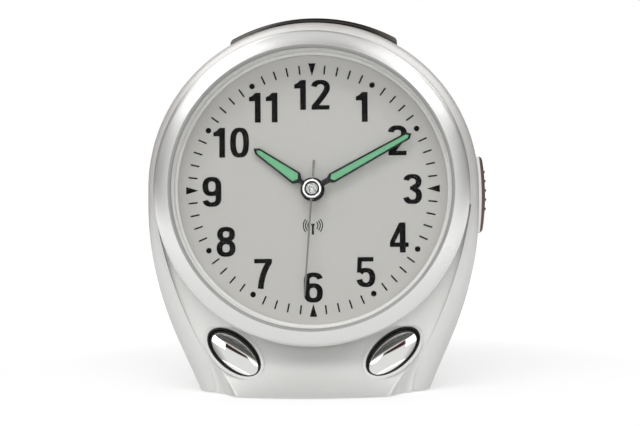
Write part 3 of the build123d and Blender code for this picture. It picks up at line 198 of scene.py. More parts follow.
ink = surface("black_ink", (0.006, 0.0055, 0.0055), 0.3, 3000, 0.6, 0.05, gloss=0.05)
handBlack = surface("hand_black", (0.008, 0.008, 0.008), 0.2, 2500, 0.45, 0.06, gloss=0.15)
handLume = surface("hand_lume", (0.150, 0.418, 0.227), 0.08, 6000, 0.8, 0.05, 0.0, 0.00001, 7000)
handGrey = surface("hand_grey", (0.15, 0.15, 0.145), 0.08, 3000, 0.5, 0.05)
# Near-black for the button wells and the hand cap's groove: painted shade where these recesses fall into
# shadow
wellShade = surface("black_well", (0.010, 0.010, 0.010), 0.2, 1500, 0.5, 0.08)
blackControl = surface("black_control", (0.030, 0.030, 0.031), 0.2, 2000, 0.55, 0.08, 0.0, 0.00002, 2500)
softRubber = surface("soft_rubber", (0.030, 0.030, 0.030), 0.2, 1800, 0.85, 0.05, 0.0, 0.00004, 1500)
domeRubber = surface("dome_rubber", (0.45, 0.45, 0.43), 0.05, 1200, 0.6, 0.06, 0.0, 0.00001, 1500)
steelScrew = surface("steel_screw", (0.56, 0.56, 0.57), 0.08, 2500, 0.3, 0.06, 1.0)
movementCase = surface("movement_case", (0.03, 0.03, 0.03), 0.2, 2000, 0.5, 0.08, 0.0, 0.00002, 2200)
gearWhite = surface("gear_white", (0.80, 0.79, 0.75), 0.03, 1200, 0.4, 0.06)
rotorMagnet = surface("rotor_magnet", (0.22, 0.22, 0.23), 0.1, 2500, 0.35, 0.06, 1.0)
statorIron = surface("stator_iron", (0.50, 0.50, 0.50), 0.08, 2500, 0.35, 0.06, 1.0)
chipBlack = surface("chip_black", (0.015, 0.015, 0.015), 0.2, 2500, 0.6, 0.06)
speakerSteel = surface("speaker_steel", (0.30, 0.30, 0.31), 0.1, 1500, 0.35, 0.06, 0.9)
speakerPaper = surface("speaker_paper", (0.025, 0.025, 0.025), 0.4, 2500, 0.85, 0.05, 0.0, 0.00005, 1800)
contactMetal = surface("contact_metal", (0.66, 0.65, 0.61), 0.06, 2500, 0.28, 0.06, 1.0)
ferrite = surface("ferrite", (0.035, 0.035, 0.036), 0.4, 3000, 0.6, 0.08)
dialCarrier = surface("dial_carrier", (0.55, 0.55, 0.54), 0.04, 1500, 0.5, 0.06)


# Coil wire: pitch in metres, and the length at which a wave of scale one repeats
coilWire = {"pitch": 0.0003, "wave": 0.314, "colour": (0.55, 0.20, 0.08), "gap": (0.22, 0.07, 0.03),
            "crown": (0.68, 0.27, 0.11), "relief": 0.6}


def wound(name, direction):
    # Enamelled wire: a sine of the place along the coil shapes both colour and relief
    material = surface(name, coilWire["colour"], 0.15, 3000, 0.35, 0.06, 0.9)
    pitch = coilWire["pitch"]
    tree = material.node_tree
    shader = tree.nodes["Principled BSDF"]
    coordinate = addNode(tree, "ShaderNodeTexCoord").outputs["Object"]
    wave = addNode(tree, "ShaderNodeTexWave", bands_direction=direction, Scale=coilWire["wave"] / pitch)
    tree.links.new(coordinate, wave.inputs["Vector"])
    layers = colourMix(tree, wave.outputs["Fac"], coilWire["gap"], coilWire["crown"])
    tree.links.new(layers, shader.inputs["Base Color"])
    relief = addNode(tree, "ShaderNodeBump", Strength=coilWire["relief"], Distance=pitch / 3)
    tree.links.new(wave.outputs["Fac"], relief.inputs["Height"])
    tree.links.new(relief.outputs["Normal"], shader.inputs["Normal"])
    return material


# Circuit board: spans are distances in the cell pattern over which a track or a pad fades out
circuit = {"resist": (0.02, 0.16, 0.05), "track": (0.05, 0.30, 0.11), "trackScale": 260.0,
           "trackSpan": (0.04, 0.07), "pad": (0.55, 0.55, 0.52), "padScale": 330.0, "padSpan": (0.16, 0.2)}


def traced(name):
    # Green resist with lighter tracks along the edges of a cell pattern and bright pads at cell centres
    material = surface(name, circuit["resist"], 0.15, 900, 0.4, 0.06)
    tree = material.node_tree
    shader = tree.nodes["Principled BSDF"]
    base = shader.inputs["Base Color"].links[0].from_socket
    coordinate = addNode(tree, "ShaderNodeTexCoord").outputs["Object"]
    edges = addNode(tree, "ShaderNodeTexVoronoi", feature="DISTANCE_TO_EDGE", Scale=circuit["trackScale"])
    spots = addNode(tree, "ShaderNodeTexVoronoi", Scale=circuit["padScale"])
    for pattern in (edges, spots):
        tree.links.new(coordinate, pattern.inputs["Vector"])
    tracks = rangeOf(tree, edges.outputs["Distance"], 1.0, 0.0, *circuit["trackSpan"])
    pads = rangeOf(tree, spots.outputs["Distance"], 1.0, 0.0, *circuit["padSpan"])
    base = overlay(tree, base, tracks, circuit["track"])
    base = overlay(tree, base, pads, circuit["pad"])
    tree.links.new(base, shader.inputs["Base Color"])
    tree.links.new(pads, shader.inputs["Metallic"])
    return material


# Cell jacket: where along the cell, in metres from its middle, the band and the bare ends begin
cellJacket = {"body": (0.020, 0.020, 0.022), "band": (0.50, 0.22, 0.08), "bandSpan": (0.0118, 0.0121),
              "ends": (0.62, 0.62, 0.61), "endSpan": (0.0238, 0.0240)}


def cell(name, heading):
    # A plain jacket: dark body, a coppery band at the positive end, bare metal at both ends
    material = surface(name, cellJacket["body"], 0.1, 800, 0.3, 0.05)
    tree = material.node_tree
    shader = tree.nodes["Principled BSDF"]
    base = shader.inputs["Base Color"].links[0].from_socket
    split = addNode(tree, "ShaderNodeSeparateXYZ")
    tree.links.new(addNode(tree, "ShaderNodeTexCoord").outputs["Object"], split.inputs[0])
    along = addNode(tree, "ShaderNodeMath", operation="MULTIPLY")
    along.inputs[1].default_value = heading
    tree.links.new(split.outputs["X"], along.inputs[0])
    length = combine(tree, "ABSOLUTE", split.outputs["X"])
    band = rangeOf(tree, along.outputs[0], 0.0, 1.0, *cellJacket["bandSpan"])
    ends = rangeOf(tree, length, 0.0, 1.0, *cellJacket["endSpan"])
    base = overlay(tree, base, band, cellJacket["band"])
    base = overlay(tree, base, ends, cellJacket["ends"])
    tree.links.new(combine(tree, "MAXIMUM", band, ends), shader.inputs["Metallic"])
    tree.links.new(base, shader.inputs["Base Color"])
    return material


def clearLens():
    # Clear plastic that lets lamps and soft light through
    material, tree, shader = newMaterial("clear_lens")
    shader.inputs["Base Color"].default_value = (0.97, 0.98, 0.98, 1)
    shader.inputs["Roughness"].default_value = 0.0
    shader.inputs["IOR"].default_value = 1.06
    shader.inputs["Transmission Weight"].default_value = 1.0
    path = addNode(tree, "ShaderNodeLightPath")
    clear = addNode(tree, "ShaderNodeBsdfTransparent")
    mix = addNode(tree, "ShaderNodeMixShader")
    passing = combine(tree, "MAXIMUM", path.outputs["Is Shadow Ray"], path.outputs["Is Diffuse Ray"])
    tree.links.new(passing, mix.inputs[0])
    tree.links.new(shader.outputs[0], mix.inputs[1])
    tree.links.new(clear.outputs[0], mix.inputs[2])
    tree.links.new(mix.outputs[0], tree.nodes["Material Output"].inputs["Surface"])
    return material


finishes = {
    caseSilver: "front_case rear_case battery_door",
    bezelSilver: "bezel_ring",
    clearLens(): "lens",
    dialPrint: "dial_face",
    dialTrim: "dial_ring",
    dialCarrier: "dial_base antenna_holders",
    handBlack: "hour_hand minute_hand",
    handLume: "hour_lume minute_lume",
    handGrey: "second_hand",
    chrome: "hand_cap left_button right_button",
    darkChrome: "talk_bar",
    warmChrome: "side_switch",
    # The button sleeves carry the near-black painted shade of the wells
    wellShade: "button_sleeves",
    blackControl: "zone_switch sync_button zone_switch_body side_switch_body",
    softRubber: "base_pad",
    domeRubber: "talk_dome left_dome right_dome sync_dome",
    steelScrew: "case_screws dial_screws movement_screws speaker_screws",
    movementCase: "movement_front movement_back",
    gearWhite: "hour_wheel motion_wheel minute_wheel minute_idler second_wheel second_idler",
    rotorMagnet: "minute_rotor second_rotor",
    statorIron: "minute_stator second_stator",
    wound("copper_rows", "X"): "second_coil antenna_coil",
    wound("copper_columns", "Z"): "minute_coil",
    traced("circuit_board"): "main_board control_board button_board",
    chipBlack: "voice_chip",
    speakerSteel: "speaker_frame",
    speakerPaper: "speaker_cone",
    cell("cell_upper", 1.0): "battery_upper",
    cell("cell_lower", -1.0): "battery_lower",
    contactMetal: "battery_springs battery_plates",
    ferrite: "antenna_rod",
}
for material, names in finishes.items():
    for name in names.split():
        nodes[name].data.materials.clear()
        nodes[name].data.materials.append(material)
print("materials on", len(nodes), "nodes")

# Dial print: strokes are ribbons along centre lines, wider where they run upright. Upright, level and slant
# are half widths of strokes, bowls are half heights of the small, large and full bowls
inkFilm = {"level": 0.03, "step": 0.0004, "steps": 12}
numeral = {"height": 9.2, "halfWidth": 2.88, "upright": 0.91, "level": 0.69, "slant": 0.7, "gap": 1.7,
           "inset": 0.86, "oneSpan": (-1.85, 1.65), "bowls": (2.32, 2.62, 2.95), "bowlPower": 2.3}


def arc(x, y, across, high, start, end, power, count):
    # Superellipse: cosine and sine raised to two over the power
    angle = np.radians(np.linspace(start, end, count))
    c, s = np.cos(angle), np.sin(angle)
    return np.stack([
        x + across * np.sign(c) * np.abs(c) ** (2 / power),
        y + high * np.sign(s) * np.abs(s) ** (2 / power),
    ], -1)


def straight(*points):
    return np.array(points, float)


def bend(first, control, last, count=24):
    t = np.linspace(0, 1, count)[:, None]
    first, control, last = (np.array(point, float) for point in (first, control, last))
    return (1 - t) ** 2 * first + 2 * t * (1 - t) * control + t**2 * last


def ribbon(path, upright=numeral["upright"], level=numeral["level"], closed=False):
    if closed:
        path = path[:-1]
        ahead = np.roll(path, -1, 0) - np.roll(path, 1, 0)
    else:
        ahead = np.gradient(path, axis=0)
    ahead = ahead / np.linalg.norm(ahead, axis=1)[:, None]
    half = level + (upright - level) * np.abs(ahead[:, 1:])
    side = np.stack([-ahead[:, 1], ahead[:, 0]], -1) * half
    return np.stack([path - side, path + side], 1), closed


def between(lower, upper):
    return np.stack([lower, upper], 1), False


def strokesOf(digit):
    # Centre lines of one digit in millimetres from its middle, arcs from one angle to another in degrees
    w, h = numeral["halfWidth"] - numeral["inset"], numeral["height"] / 2
    bar, slant, power = numeral["level"], numeral["slant"], numeral["bowlPower"]
    small, large, full = numeral["bowls"]
    top, low = h - bar, bar - h
    if digit == "0":
        return [ribbon(arc(0, 0, w, top, 0, 360, 2.6, 73), closed=True)]
    if digit == "1":
        reach = -numeral["oneSpan"][0]
        x = np.linspace(-reach, 0.1, 14)
        rise = h - 1.25 + 1.25 * np.clip((x + reach) / reach, 0, 1) ** 2
        flag = between(np.stack([x, np.full_like(x, h - 2.6)], -1), np.stack([x, rise], -1))
        return [ribbon(straight((0.85, -h), (0.85, h))), flag]
    if digit == "2":
        bowl = arc(0, h - 2.4, w, 2.4 - bar, 172, -22, power, 36)
        tail = bend(bowl[-1], (w - 0.75, 0.1), (-w + 0.1, low + 0.2))
        return [ribbon(np.vstack([bowl, tail[1:]])), ribbon(straight((-w - 0.75, low), (w + 0.75, low)))]
    if digit == "3":
        upper = arc(0, h - small, w - 0.1, small - bar, 168, -90, power, 44)
        lower = arc(0, -h + large, w, large - bar, 90, -168, power, 44)
        return [ribbon(upper), ribbon(lower), ribbon(straight((-0.75, 0.3), (0.3, 0.3)), 0.6, 0.6)]
    if digit == "4":
        return [
            ribbon(straight((0.75, h - 0.35), (-w - 0.15, -1.75)), 0.72, 0.72),
            ribbon(straight((-w - 0.75, -2.2), (w + 0.95, -2.2))),
            ribbon(straight((1.15, -h), (1.15, h))),
        ]
    if digit == "5":
        bowl = arc(0, -h + full, w, full - bar, 146, -168, power, 56)
        return [
            ribbon(bowl),
            ribbon(straight((-w + 0.25, h), (-w - 0.02, -0.2)), slant, slant),
            ribbon(straight((-w - 0.35, top), (w + 0.35, top))),
        ]
    if digit == "6":
        hook = arc(0.05, h - 2.5, w + 0.05, 2.5 - bar, 180, 14, power, 36)
        ring = arc(0, -h + full, w, full - bar, 0, 360, 2.4, 73)
        return [ribbon(ring, closed=True), ribbon(np.vstack([straight((-w, -1.6)), hook]))]
    if digit == "7":
        return [
            ribbon(straight((-w - 0.7, top), (w + 0.75, top))),
            ribbon(bend((w + 0.15, top), (-0.35, 0.4), (-0.75, -h))),
        ]
    if digit == "8":
        return [
            ribbon(arc(0, h - small, w - 0.15, small - bar, 0, 360, power, 73), closed=True),
            ribbon(arc(0, -h + large, w, large - bar, 0, 360, power, 73), closed=True),
        ]
    return [(-strip[::-1], closed) for strip, closed in strokesOf("6")]


def widthOf(digit):
    return numeral["oneSpan"] if digit == "1" else (-numeral["halfWidth"], numeral["halfWidth"])


class printedSheet:
    def __init__(self):
        self.points, self.faces, self.count, self.strips = [], [], 0, 0

    def add(self, strip, closed, x=0.0, y=0.0, turn=0.0):
        # A strip of the print, turned clockwise and moved; each lies a hair above the last, and all its
        # faces look out of the dial
        flat = strip.reshape(-1, 2)
        c, s = cos(-turn), sin(-turn)
        moved = np.stack([c * flat[:, 0] - s * flat[:, 1] + x, s * flat[:, 0] + c * flat[:, 1] + y], -1)
        level = inkFilm["level"] + inkFilm["step"] * (self.strips % inkFilm["steps"])
        self.points.append(place(moved[:, 0], moved[:, 1], level))
        faces = gridFaces(len(strip), 2, closed, False)
        corners = moved[faces]
        ahead = np.roll(corners, -1, 1)
        area = (corners[..., 0] * ahead[..., 1] - corners[..., 1] * ahead[..., 0]).sum(1)
        self.faces.append(np.where(area[:, None] < 0, faces[:, ::-1], faces) + self.count)
        self.count += len(flat)
        self.strips += 1

    def piece(self, name, material):
        points, faces = np.vstack(self.points), np.vstack(self.faces)
        addPiece(name, points, faces, "case", material, solid=False)


# Numeral centres on the dial, right and up, in millimetres
numeralSpots = {
    12: (0.0, 29.2), 1: (15.2, 25.3), 2: (26.1, 14.9), 3: (30.55, -0.1), 4: (26.3, -14.9), 5: (16.1, -25.4),
    6: (0.0, -30.0), 7: (-15.4, -25.7), 8: (-26.7, -15.8), 9: (-31.0, -0.4), 10: (-25.0, 14.7),
    11: (-15.1, 25.4),
}
numerals = printedSheet()
for number, (x, y) in numeralSpots.items():
    text = str(number)
    widths = [widthOf(digit) for digit in text]
    total = sum(right - left for left, right in widths) + numeral["gap"] * (len(text) - 1)
    start = x - total / 2
    for digit, (left, right) in zip(text, widths):
        for strip, closed in strokesOf(digit):
            numerals.add(strip, closed, start - left, y)
        start += right - left + numeral["gap"]
numerals.piece("dial_numerals", ink)

# Minute marks: lines, a dot at every fifth minute and a wedge at the quarters, which points inwards
marks = printedSheet()
tick = {"inner": 35.6, "outer": 38.4, "half": 0.25, "dotRadius": 36.95, "dot": 0.87, "dotPoints": 33,
        "dotHole": 0.02, "tip": 35.0, "tipWidth": 0.001, "base": 38.95, "baseHalf": 1.15}
for minute in range(60):
    turn = radians(6 * minute)
    if minute % 15 == 0:
        wedge = np.array([[[0, tick["tip"]], [tick["tipWidth"], tick["tip"]]],
                          [[-tick["baseHalf"], tick["base"]], [tick["baseHalf"], tick["base"]]]])
        marks.add(wedge, False, turn=turn)
    elif minute % 5 == 0:
        around = arc(0, tick["dotRadius"], tick["dot"], tick["dot"], 0, 360, 2.0, tick["dotPoints"])
        centre = np.tile([[0.0, tick["dotRadius"]]], (tick["dotPoints"], 1))
        marks.add(np.stack([centre + tick["dotHole"] * (around - centre), around], 1), False, turn=turn)
    else:
        line = straight((0, tick["inner"]), (0, tick["outer"]))
        marks.add(*ribbon(line, tick["half"], tick["half"]), turn=turn)
marks.piece("dial_marks", ink)

# A plain reception sign: a mast with arcs to both sides
reception = {"x": 0.0, "y": -11.9, "mast": 0.32, "mastSpan": (-1.9, 1.0), "bar": 0.25, "barReach": 0.55,
             "barLevel": 1.2, "arcs": (1.55, 2.25, 2.95), "arcLevel": 0.9, "arcTurn": 42, "half": 0.16}
signal = printedSheet()
spot = reception["x"], reception["y"]
mast = straight(*((0, level) for level in reception["mastSpan"]))
signal.add(*ribbon(mast, reception["mast"], reception["mast"]), *spot)
bar = straight(*((side * reception["barReach"], reception["barLevel"]) for side in (-1, 1)))
signal.add(*ribbon(bar, reception["bar"], reception["bar"]), *spot)
for radius in reception["arcs"]:
    for heading in (0, 180):
        start, end = heading - reception["arcTurn"], heading + reception["arcTurn"]
        wave = arc(0, reception["arcLevel"], radius, radius, start, end, 2.0, 16)
        signal.add(*ribbon(wave, reception["half"], reception["half"]), *spot)
signal.piece("dial_signal", ink)
print("dial print done")

# Button domes: a parabola over an oval, closed by a wall that runs down into the well and a stem behind
button = {"long": 9.4, "short": 4.85, "turn": 42.0, "spread": 24.2, "y": -49.4, "n": 3.0, "tilt": 18.0,
          "edge": -1.7, "crown": 1.5, "brim": (0.02, 0.08), "foot": -4.7, "stem": -7.48, "stemShare": 0.2,
          "ringSpan": (0.02, 0.985), "rings": 40, "around": 128}


def buttonDome(name, side):
    angle = np.linspace(0, 2 * pi, button["around"], endpoint=False)
    share = np.concatenate([np.linspace(*button["ringSpan"], button["rings"]), [1.0, 1.0, 1.0],
                            [button["stemShare"], button["stemShare"]]])
    rise = button["edge"] + button["crown"] * (1 - share**2)
    brim = [button["edge"] - drop for drop in button["brim"]]
    rise[-5:] = *brim, button["foot"], button["foot"], button["stem"]
    c, s = cos(radians(button["turn"])), sin(radians(button["turn"])) * side
    u = share[:, None] * button["long"] * np.cos(angle)
    v = share[:, None] * button["short"] * np.sin(angle)
    x = side * button["spread"] + c * u - s * v
    w = s * u + c * v
    z = np.broadcast_to(rise[:, None], x.shape)
    ct, st = cos(radians(button["tilt"])), sin(radians(button["tilt"]))
    points = place(x, button["y"] + w * ct + z * st, button["n"] - w * st + z * ct)
    faces = tubeFaces(len(share), len(angle))
    made = addPiece(name + "_chrome", points, faces, name, chrome)
    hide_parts(name)


buttonDome("right_button", 1)
buttonDome("left_button", -1)
print("buttons done")

# Rubber domes: a bell profile spun about the push direction
tilt = radians(button["tilt"])
frontDome = {"up": (0, sin(tilt), cos(tilt)), "radius": 3.0, "top": 2.0, "push": 1.2}
domes = {
    "talk": {"joint": "talk_bar_push", "seat": (0, 34.8, -19.0), "up": (0, 1, 0), "radius": 3.0, "top": 2.0,
             "push": 1.2},
    "left": {"joint": "left_button_push", "seat": (-24.2, -52.5, -6.53), **frontDome},
    "right": {"joint": "right_button_push", "seat": (24.2, -52.5, -6.53), **frontDome},
    "sync": {"joint": "sync_button_push", "seat": (-33.0, 1.5, -31.0), "up": (0, 0, -1), "radius": 2.4,
             "top": 1.5, "push": 0.8},
}
domeHeight = 2.5


def rubberDome(name, joint, seat, up, radius, top, push, rings=16, around=48):
    share = np.linspace(0, 1, rings)
    reach = top + (radius - top) * (1 - np.sin(share * pi / 2))
    angle = np.linspace(0, 2 * pi, around, endpoint=False)
    across = np.array([1.0, 0.0, 0.0])
    circle = np.cos(angle)[:, None] * across + np.sin(angle)[:, None] * np.cross(up, across)
    rise = domeHeight * share[:, None, None] * np.array(up)
    spots = np.array(seat) + rise + reach[:, None, None] * circle
    points = place(*np.moveaxis(spots, -1, 0))
    faces = tubeFaces(rings, around)
    made = addPiece(name + "_dome_rubber", points, faces, "case", domeRubber)
    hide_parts(name + "_dome")
    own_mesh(made)


for name, values in domes.items():
    rubberDome(name, **values)
print("domes done")


# Spun rings: a closed profile of radius and level, spun about the dial axis; corners get two close points
def cornered(points, gap=0.04):
    points = np.array(points, float)
    before, after = np.roll(points, 1, 0) - points, np.roll(points, -1, 0) - points
    before = before / np.linalg.norm(before, axis=1)[:, None]
    after = after / np.linalg.norm(after, axis=1)[:, None]
    return np.stack([points + gap * before, points + gap * after], 1).reshape(-1, 2)


def spunRing(name, node, profile, materials, finish, around=288):
    angle = np.linspace(0, 2 * pi, around, endpoint=False)
    x, y = profile[:, :1] * np.sin(angle), profile[:, :1] * np.cos(angle)
    faces = gridFaces(len(profile), around, True, True)
    made = addPiece(name, place(x, y, profile[:, 1:]), faces, "case", materials[0])
    for material in materials[1:]:
        made.data.materials.append(material)
    made.data.polygons.foreach_set("material_index", np.repeat(finish, around).astype(np.int32))
    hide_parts(node)


# Bezel: radii, then levels above the dial; wallBand and lipBand are how near a face lies to count as theirs
bezel = {"lip": 42.4, "crest": 43.4, "seat": 44.5, "brow": 46.75, "outer": 47.95, "front": 12.0, "edge": 11.0,
         "under": 10.42, "browLevel": 10.2, "shoulder": 8.8, "groove": 7.4, "grooveStep": 0.02, "foot": 4.0,
         "round": 16, "wallBand": 0.1, "lipBand": 0.03}


def bezelProfile():
    # Lip, chamfer and sloped face, then a quadratic round into the outer wall and back behind the lens
    slope = (bezel["browLevel"] - bezel["front"]) / (bezel["brow"] - bezel["crest"])
    turn = (bezel["outer"], bezel["browLevel"] + slope * (bezel["outer"] - bezel["brow"]))
    shoulder = (bezel["outer"], bezel["shoulder"])
    brow = bend((bezel["brow"], bezel["browLevel"]), turn, shoulder, bezel["round"])
    corners = cornered([
        (bezel["outer"], bezel["foot"]), (bezel["seat"], bezel["foot"]), (bezel["seat"], bezel["under"]),
        (bezel["lip"], bezel["under"]), (bezel["lip"], bezel["edge"]), (bezel["crest"], bezel["front"]),
    ])
    wall = [(bezel["outer"], bezel["groove"] + side * bezel["grooveStep"]) for side in (1, -1)]
    profile = np.vstack([corners, brow, wall])
    level = (profile[:, 1] + np.roll(profile[:, 1], -1)) / 2
    radius = (profile[:, 0] + np.roll(profile[:, 0], -1)) / 2
    # The outer wall below the groove level takes the dark grey, painted groove shade
    shadedWall = (radius > bezel["outer"] - bezel["wallBand"]) & (level < bezel["groove"])
    # Chamfer faces by the lip take the darker silver, painted shade
    lip = (radius < bezel["crest"] - bezel["lipBand"]) & (level > bezel["under"])
    return profile, np.where(lip, 1, np.where(shadedWall, 2, 0))


profile, finish = bezelProfile()
bezelFinishes = [bezelSilver, bezelEdgeShade, grooveShade]
spunRing("bezel_ring_spun", "bezel_ring", profile, bezelFinishes, finish)

# Ring between dial and lens: it steps down and in from the lens, radius and level of each corner
trim = {"corners": [(44.35, 0.0), (44.35, 8.4), (43.0, 8.4), (43.0, 5.0), (42.2, 5.0), (42.2, 1.2),
                    (41.4, 1.2), (41.4, 0.0)], "gap": 0.05}
steps = cornered(trim["corners"], trim["gap"])
spunRing("dial_ring_spun", "dial_ring", steps, [dialTrim], np.zeros(len(steps)))
print("rings done")

# Cap of the hand stack: a turned profile of rim, groove and ringed middle, spun about the dial axis
cap = {"radius": 2.95, "bore": 1.2, "low": 4.72, "rim": 6.1, "chamfer": 0.12,
       "rimRound": ((0.22, 0.0), (0.06, 0.14), (0.0, 0.4)), "groove": 5.55, "grooveSpan": (1.75, 2.2),
       "grooveSlant": 0.1, "middle": 6.25, "middleFall": 0.12, "middleEdge": 0.2, "pinhole": 0.01,
       "ringDepth": 0.035, "rings": 4, "samples": 39, "around": 96}


def handCap():
    # The middle falls as a parabola and carries a cosine ripple; the rest runs from corner to corner
    share = np.linspace(0.0, 1.0, cap["samples"], endpoint=False)
    inner, outer = cap["grooveSpan"]
    radius = share * inner
    ripple = cap["ringDepth"] * np.cos(2 * pi * cap["rings"] * share)
    level = cap["middle"] - cap["middleFall"] * share**2 + ripple - cap["ringDepth"]
    groove = [(inner, cap["middle"] - cap["middleEdge"]), (inner + cap["grooveSlant"], cap["groove"]),
              (outer - cap["grooveSlant"], cap["groove"])]
    rim = [(outer, cap["rim"] - cap["chamfer"]), (outer + cap["chamfer"], cap["rim"])]
    rim += [(cap["radius"] - inward, cap["rim"] - down) for inward, down in cap["rimRound"]]
    base = [(cap["radius"], cap["low"]), (cap["bore"], cap["low"])]
    profile = np.vstack([np.stack([radius + cap["pinhole"], level], -1), groove, rim, base])
    angle = np.linspace(0, 2 * pi, cap["around"], endpoint=False)
    x, y = profile[:, :1] * np.sin(angle), profile[:, :1] * np.cos(angle)
    faces = tubeFaces(len(profile), len(angle))
    made = addPiece("hand_cap_turned", place(x, y, profile[:, 1:]), faces, "second_hand",
                    capMetal)
    made.data.materials.append(capRim)
    # The cap's groove takes the near-black painted shade
    made.data.materials.append(wellShade)
    row = np.arange(len(faces)) // len(angle)
    finish = np.where(row >= len(radius) + len(groove), 1, np.where(row >= len(radius), 2, 0))
    finish[-2] = 0  # the face over the middle
    made.data.polygons.foreach_set("material_index", finish.astype(np.int32))
    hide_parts("hand_cap")


handCap()
print("hand cap done")

# Side slider: a section across the case carried up the switch, a bright foot under a bowed cap with ridges;
# the bows are parabolas along the switch, and the cap's ends are rounded off by a high power
slider = {"low": -13.0, "high": 10.6, "foot": 49.75, "seat": 52.2, "seatBow": 0.75, "cap": 1.05,
          "capBow": 0.2, "endPower": 24, "endLeast": 0.02, "ridges": 5, "pitch": 2.9, "ridge": 0.407,
          "ridgeHalf": 0.55, "ridgeTop": 1.1, "ridgePower": 0.8, "back": -21.1, "front": -12.1, "edge": 0.3,
          "inset": 0.25, "steps": 300}


def sideSlider():
    y = np.linspace(slider["low"], slider["high"], slider["steps"])
    share = 2 * (y - slider["low"]) / (slider["high"] - slider["low"]) - 1
    seat = slider["seat"] - slider["seatBow"] * share**2
    ends = np.sqrt(np.maximum(1 - share ** slider["endPower"], slider["endLeast"]))
    thick = (slider["cap"] - slider["capBow"] * share**2) * ends
    spots = slider["pitch"] * (np.arange(slider["ridges"]) - (slider["ridges"] - 1) / 2)
    away = np.abs(y[:, None] - spots).min(1) / slider["ridgeHalf"]
    ridges = np.clip(slider["ridgeTop"] - away, 0, 1) ** slider["ridgePower"]
    top = seat + thick + slider["ridge"] * ridges
    brink = top - slider["edge"]
    foot = np.full_like(y, slider["foot"])
    back, front, inset, edge = (slider[key] for key in ("back", "front", "inset", "edge"))
    across = np.stack([foot, seat, seat, brink, top, top, brink, seat, seat, foot], 1)
    along = np.array([back + inset, back + inset, back, back, back + edge, front - edge, front, front,
                      front - inset, front - inset])
    points = place(across, y[:, None], along)
    columns = len(along)
    faces = tubeFaces(len(y), columns)
    made = addPiece("side_switch_slider", points, faces, "side_switch", warmChrome, False)
    made.data.materials.append(chrome)
    column = np.arange(len(faces)) % columns
    finish = np.isin(column, (0, columns - 2)) & (np.arange(len(faces)) < len(faces) - 2)
    made.data.polygons.foreach_set("material_index", finish.astype(np.int32))
    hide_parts("side_switch")


sideSlider()
print("slider done")

# Battery springs: round wire along a conical helix, wide at the tray wall and narrow at the cell
spring = {"wire": 0.35, "turns": 4.5, "tip": 0.66, "steps": 160, "around": 10}


def batterySprings():
    mesh = nodes["battery_springs"].data
    found = np.empty(len(mesh.vertices) * 3)
    mesh.vertices.foreach_get("co", found)
    found = found.reshape(-1, 3) * 1000
    points, faces, count = [], [], 0
    for heading in (-1, 1):
        own = found[np.sign(found[:, 0]) == heading]
        low, high = own.min(0), own.max(0)
        wall, tip = (high[0], low[0]) if heading > 0 else (low[0], high[0])
        centre = (low + high) / 2
        share = np.linspace(0, 1, spring["steps"])
        turn = 2 * pi * spring["turns"] * share
        reach = ((high - low)[2] / 2 - spring["wire"]) * (1 - (1 - spring["tip"]) * share)
        inset = heading * spring["wire"]
        along = wall - inset + (tip - wall + 2 * inset) * share
        aroundWire = np.linspace(0, 2 * pi, spring["around"], endpoint=False)
        out = reach[:, None] + spring["wire"] * np.cos(aroundWire)
        x = along[:, None] + spring["wire"] * np.sin(aroundWire)
        y = centre[1] + out * np.cos(turn)[:, None]
        z = centre[2] + out * np.sin(turn)[:, None]
        points.append(np.stack([x, y, z], -1).reshape(-1, 3) / 1000)
        faces += tubeFaces(spring["steps"], spring["around"], count)
        count += spring["steps"] * spring["around"]
    made = addPiece("battery_spring_wire", np.vstack(points), faces, "case", contactMetal)
    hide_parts("battery_springs")


batterySprings()
print("springs done")

# Room: white floor, soft lamps and a camera at the photograph's angle
camera = {"distance": 600.0, "toRight": 2.6, "rise": 1.6, "roll": -0.6, "aim": (2.17, -7.18), "lens": 110.0,
          "sensor": 36, "clip": (0.01, 50)}


def addCamera():
    right, rise = radians(camera["toRight"]), radians(camera["rise"])
    back = np.array([sin(right) * cos(rise), -cos(right) * cos(rise), sin(rise)])
    eye = dialCentre + camera["distance"] * back
    level = np.cross([0, 0, 1], back)
    level = level / np.linalg.norm(level)
    upright = np.cross(back, level)
    target = dialCentre + camera["aim"][0] * level + camera["aim"][1] * upright
    look = Vector((target - eye).tolist())
    data = bpy.data.cameras.new("camera")
    data.lens = camera["lens"]
    data.sensor_width = camera["sensor"]
    data.clip_start, data.clip_end = camera["clip"]
    made = bpy.data.objects.new("camera", data)
    bpy.context.scene.collection.objects.link(made)
    turn = look.to_track_quat("-Z", "Y").to_matrix() @ Matrix.Rotation(radians(camera["roll"]), 3, "Z")
    made.matrix_world = Matrix.Translation(Vector((eye / 1000).tolist())) @ turn.to_4x4()
    bpy.context.scene.camera = made


addCamera()


# The floor's glow is weaker close to the clock, so that its shadow stays; distances in metres
floor = {"half": 12.0, "near": (0.7, 0.7, 0.7), "far": (0.10, 0.055, 0.045), "farSpan": (0.25, 0.6),
         "glow": (0.45, 1.0), "glowSpan": (0.12, 0.5)}


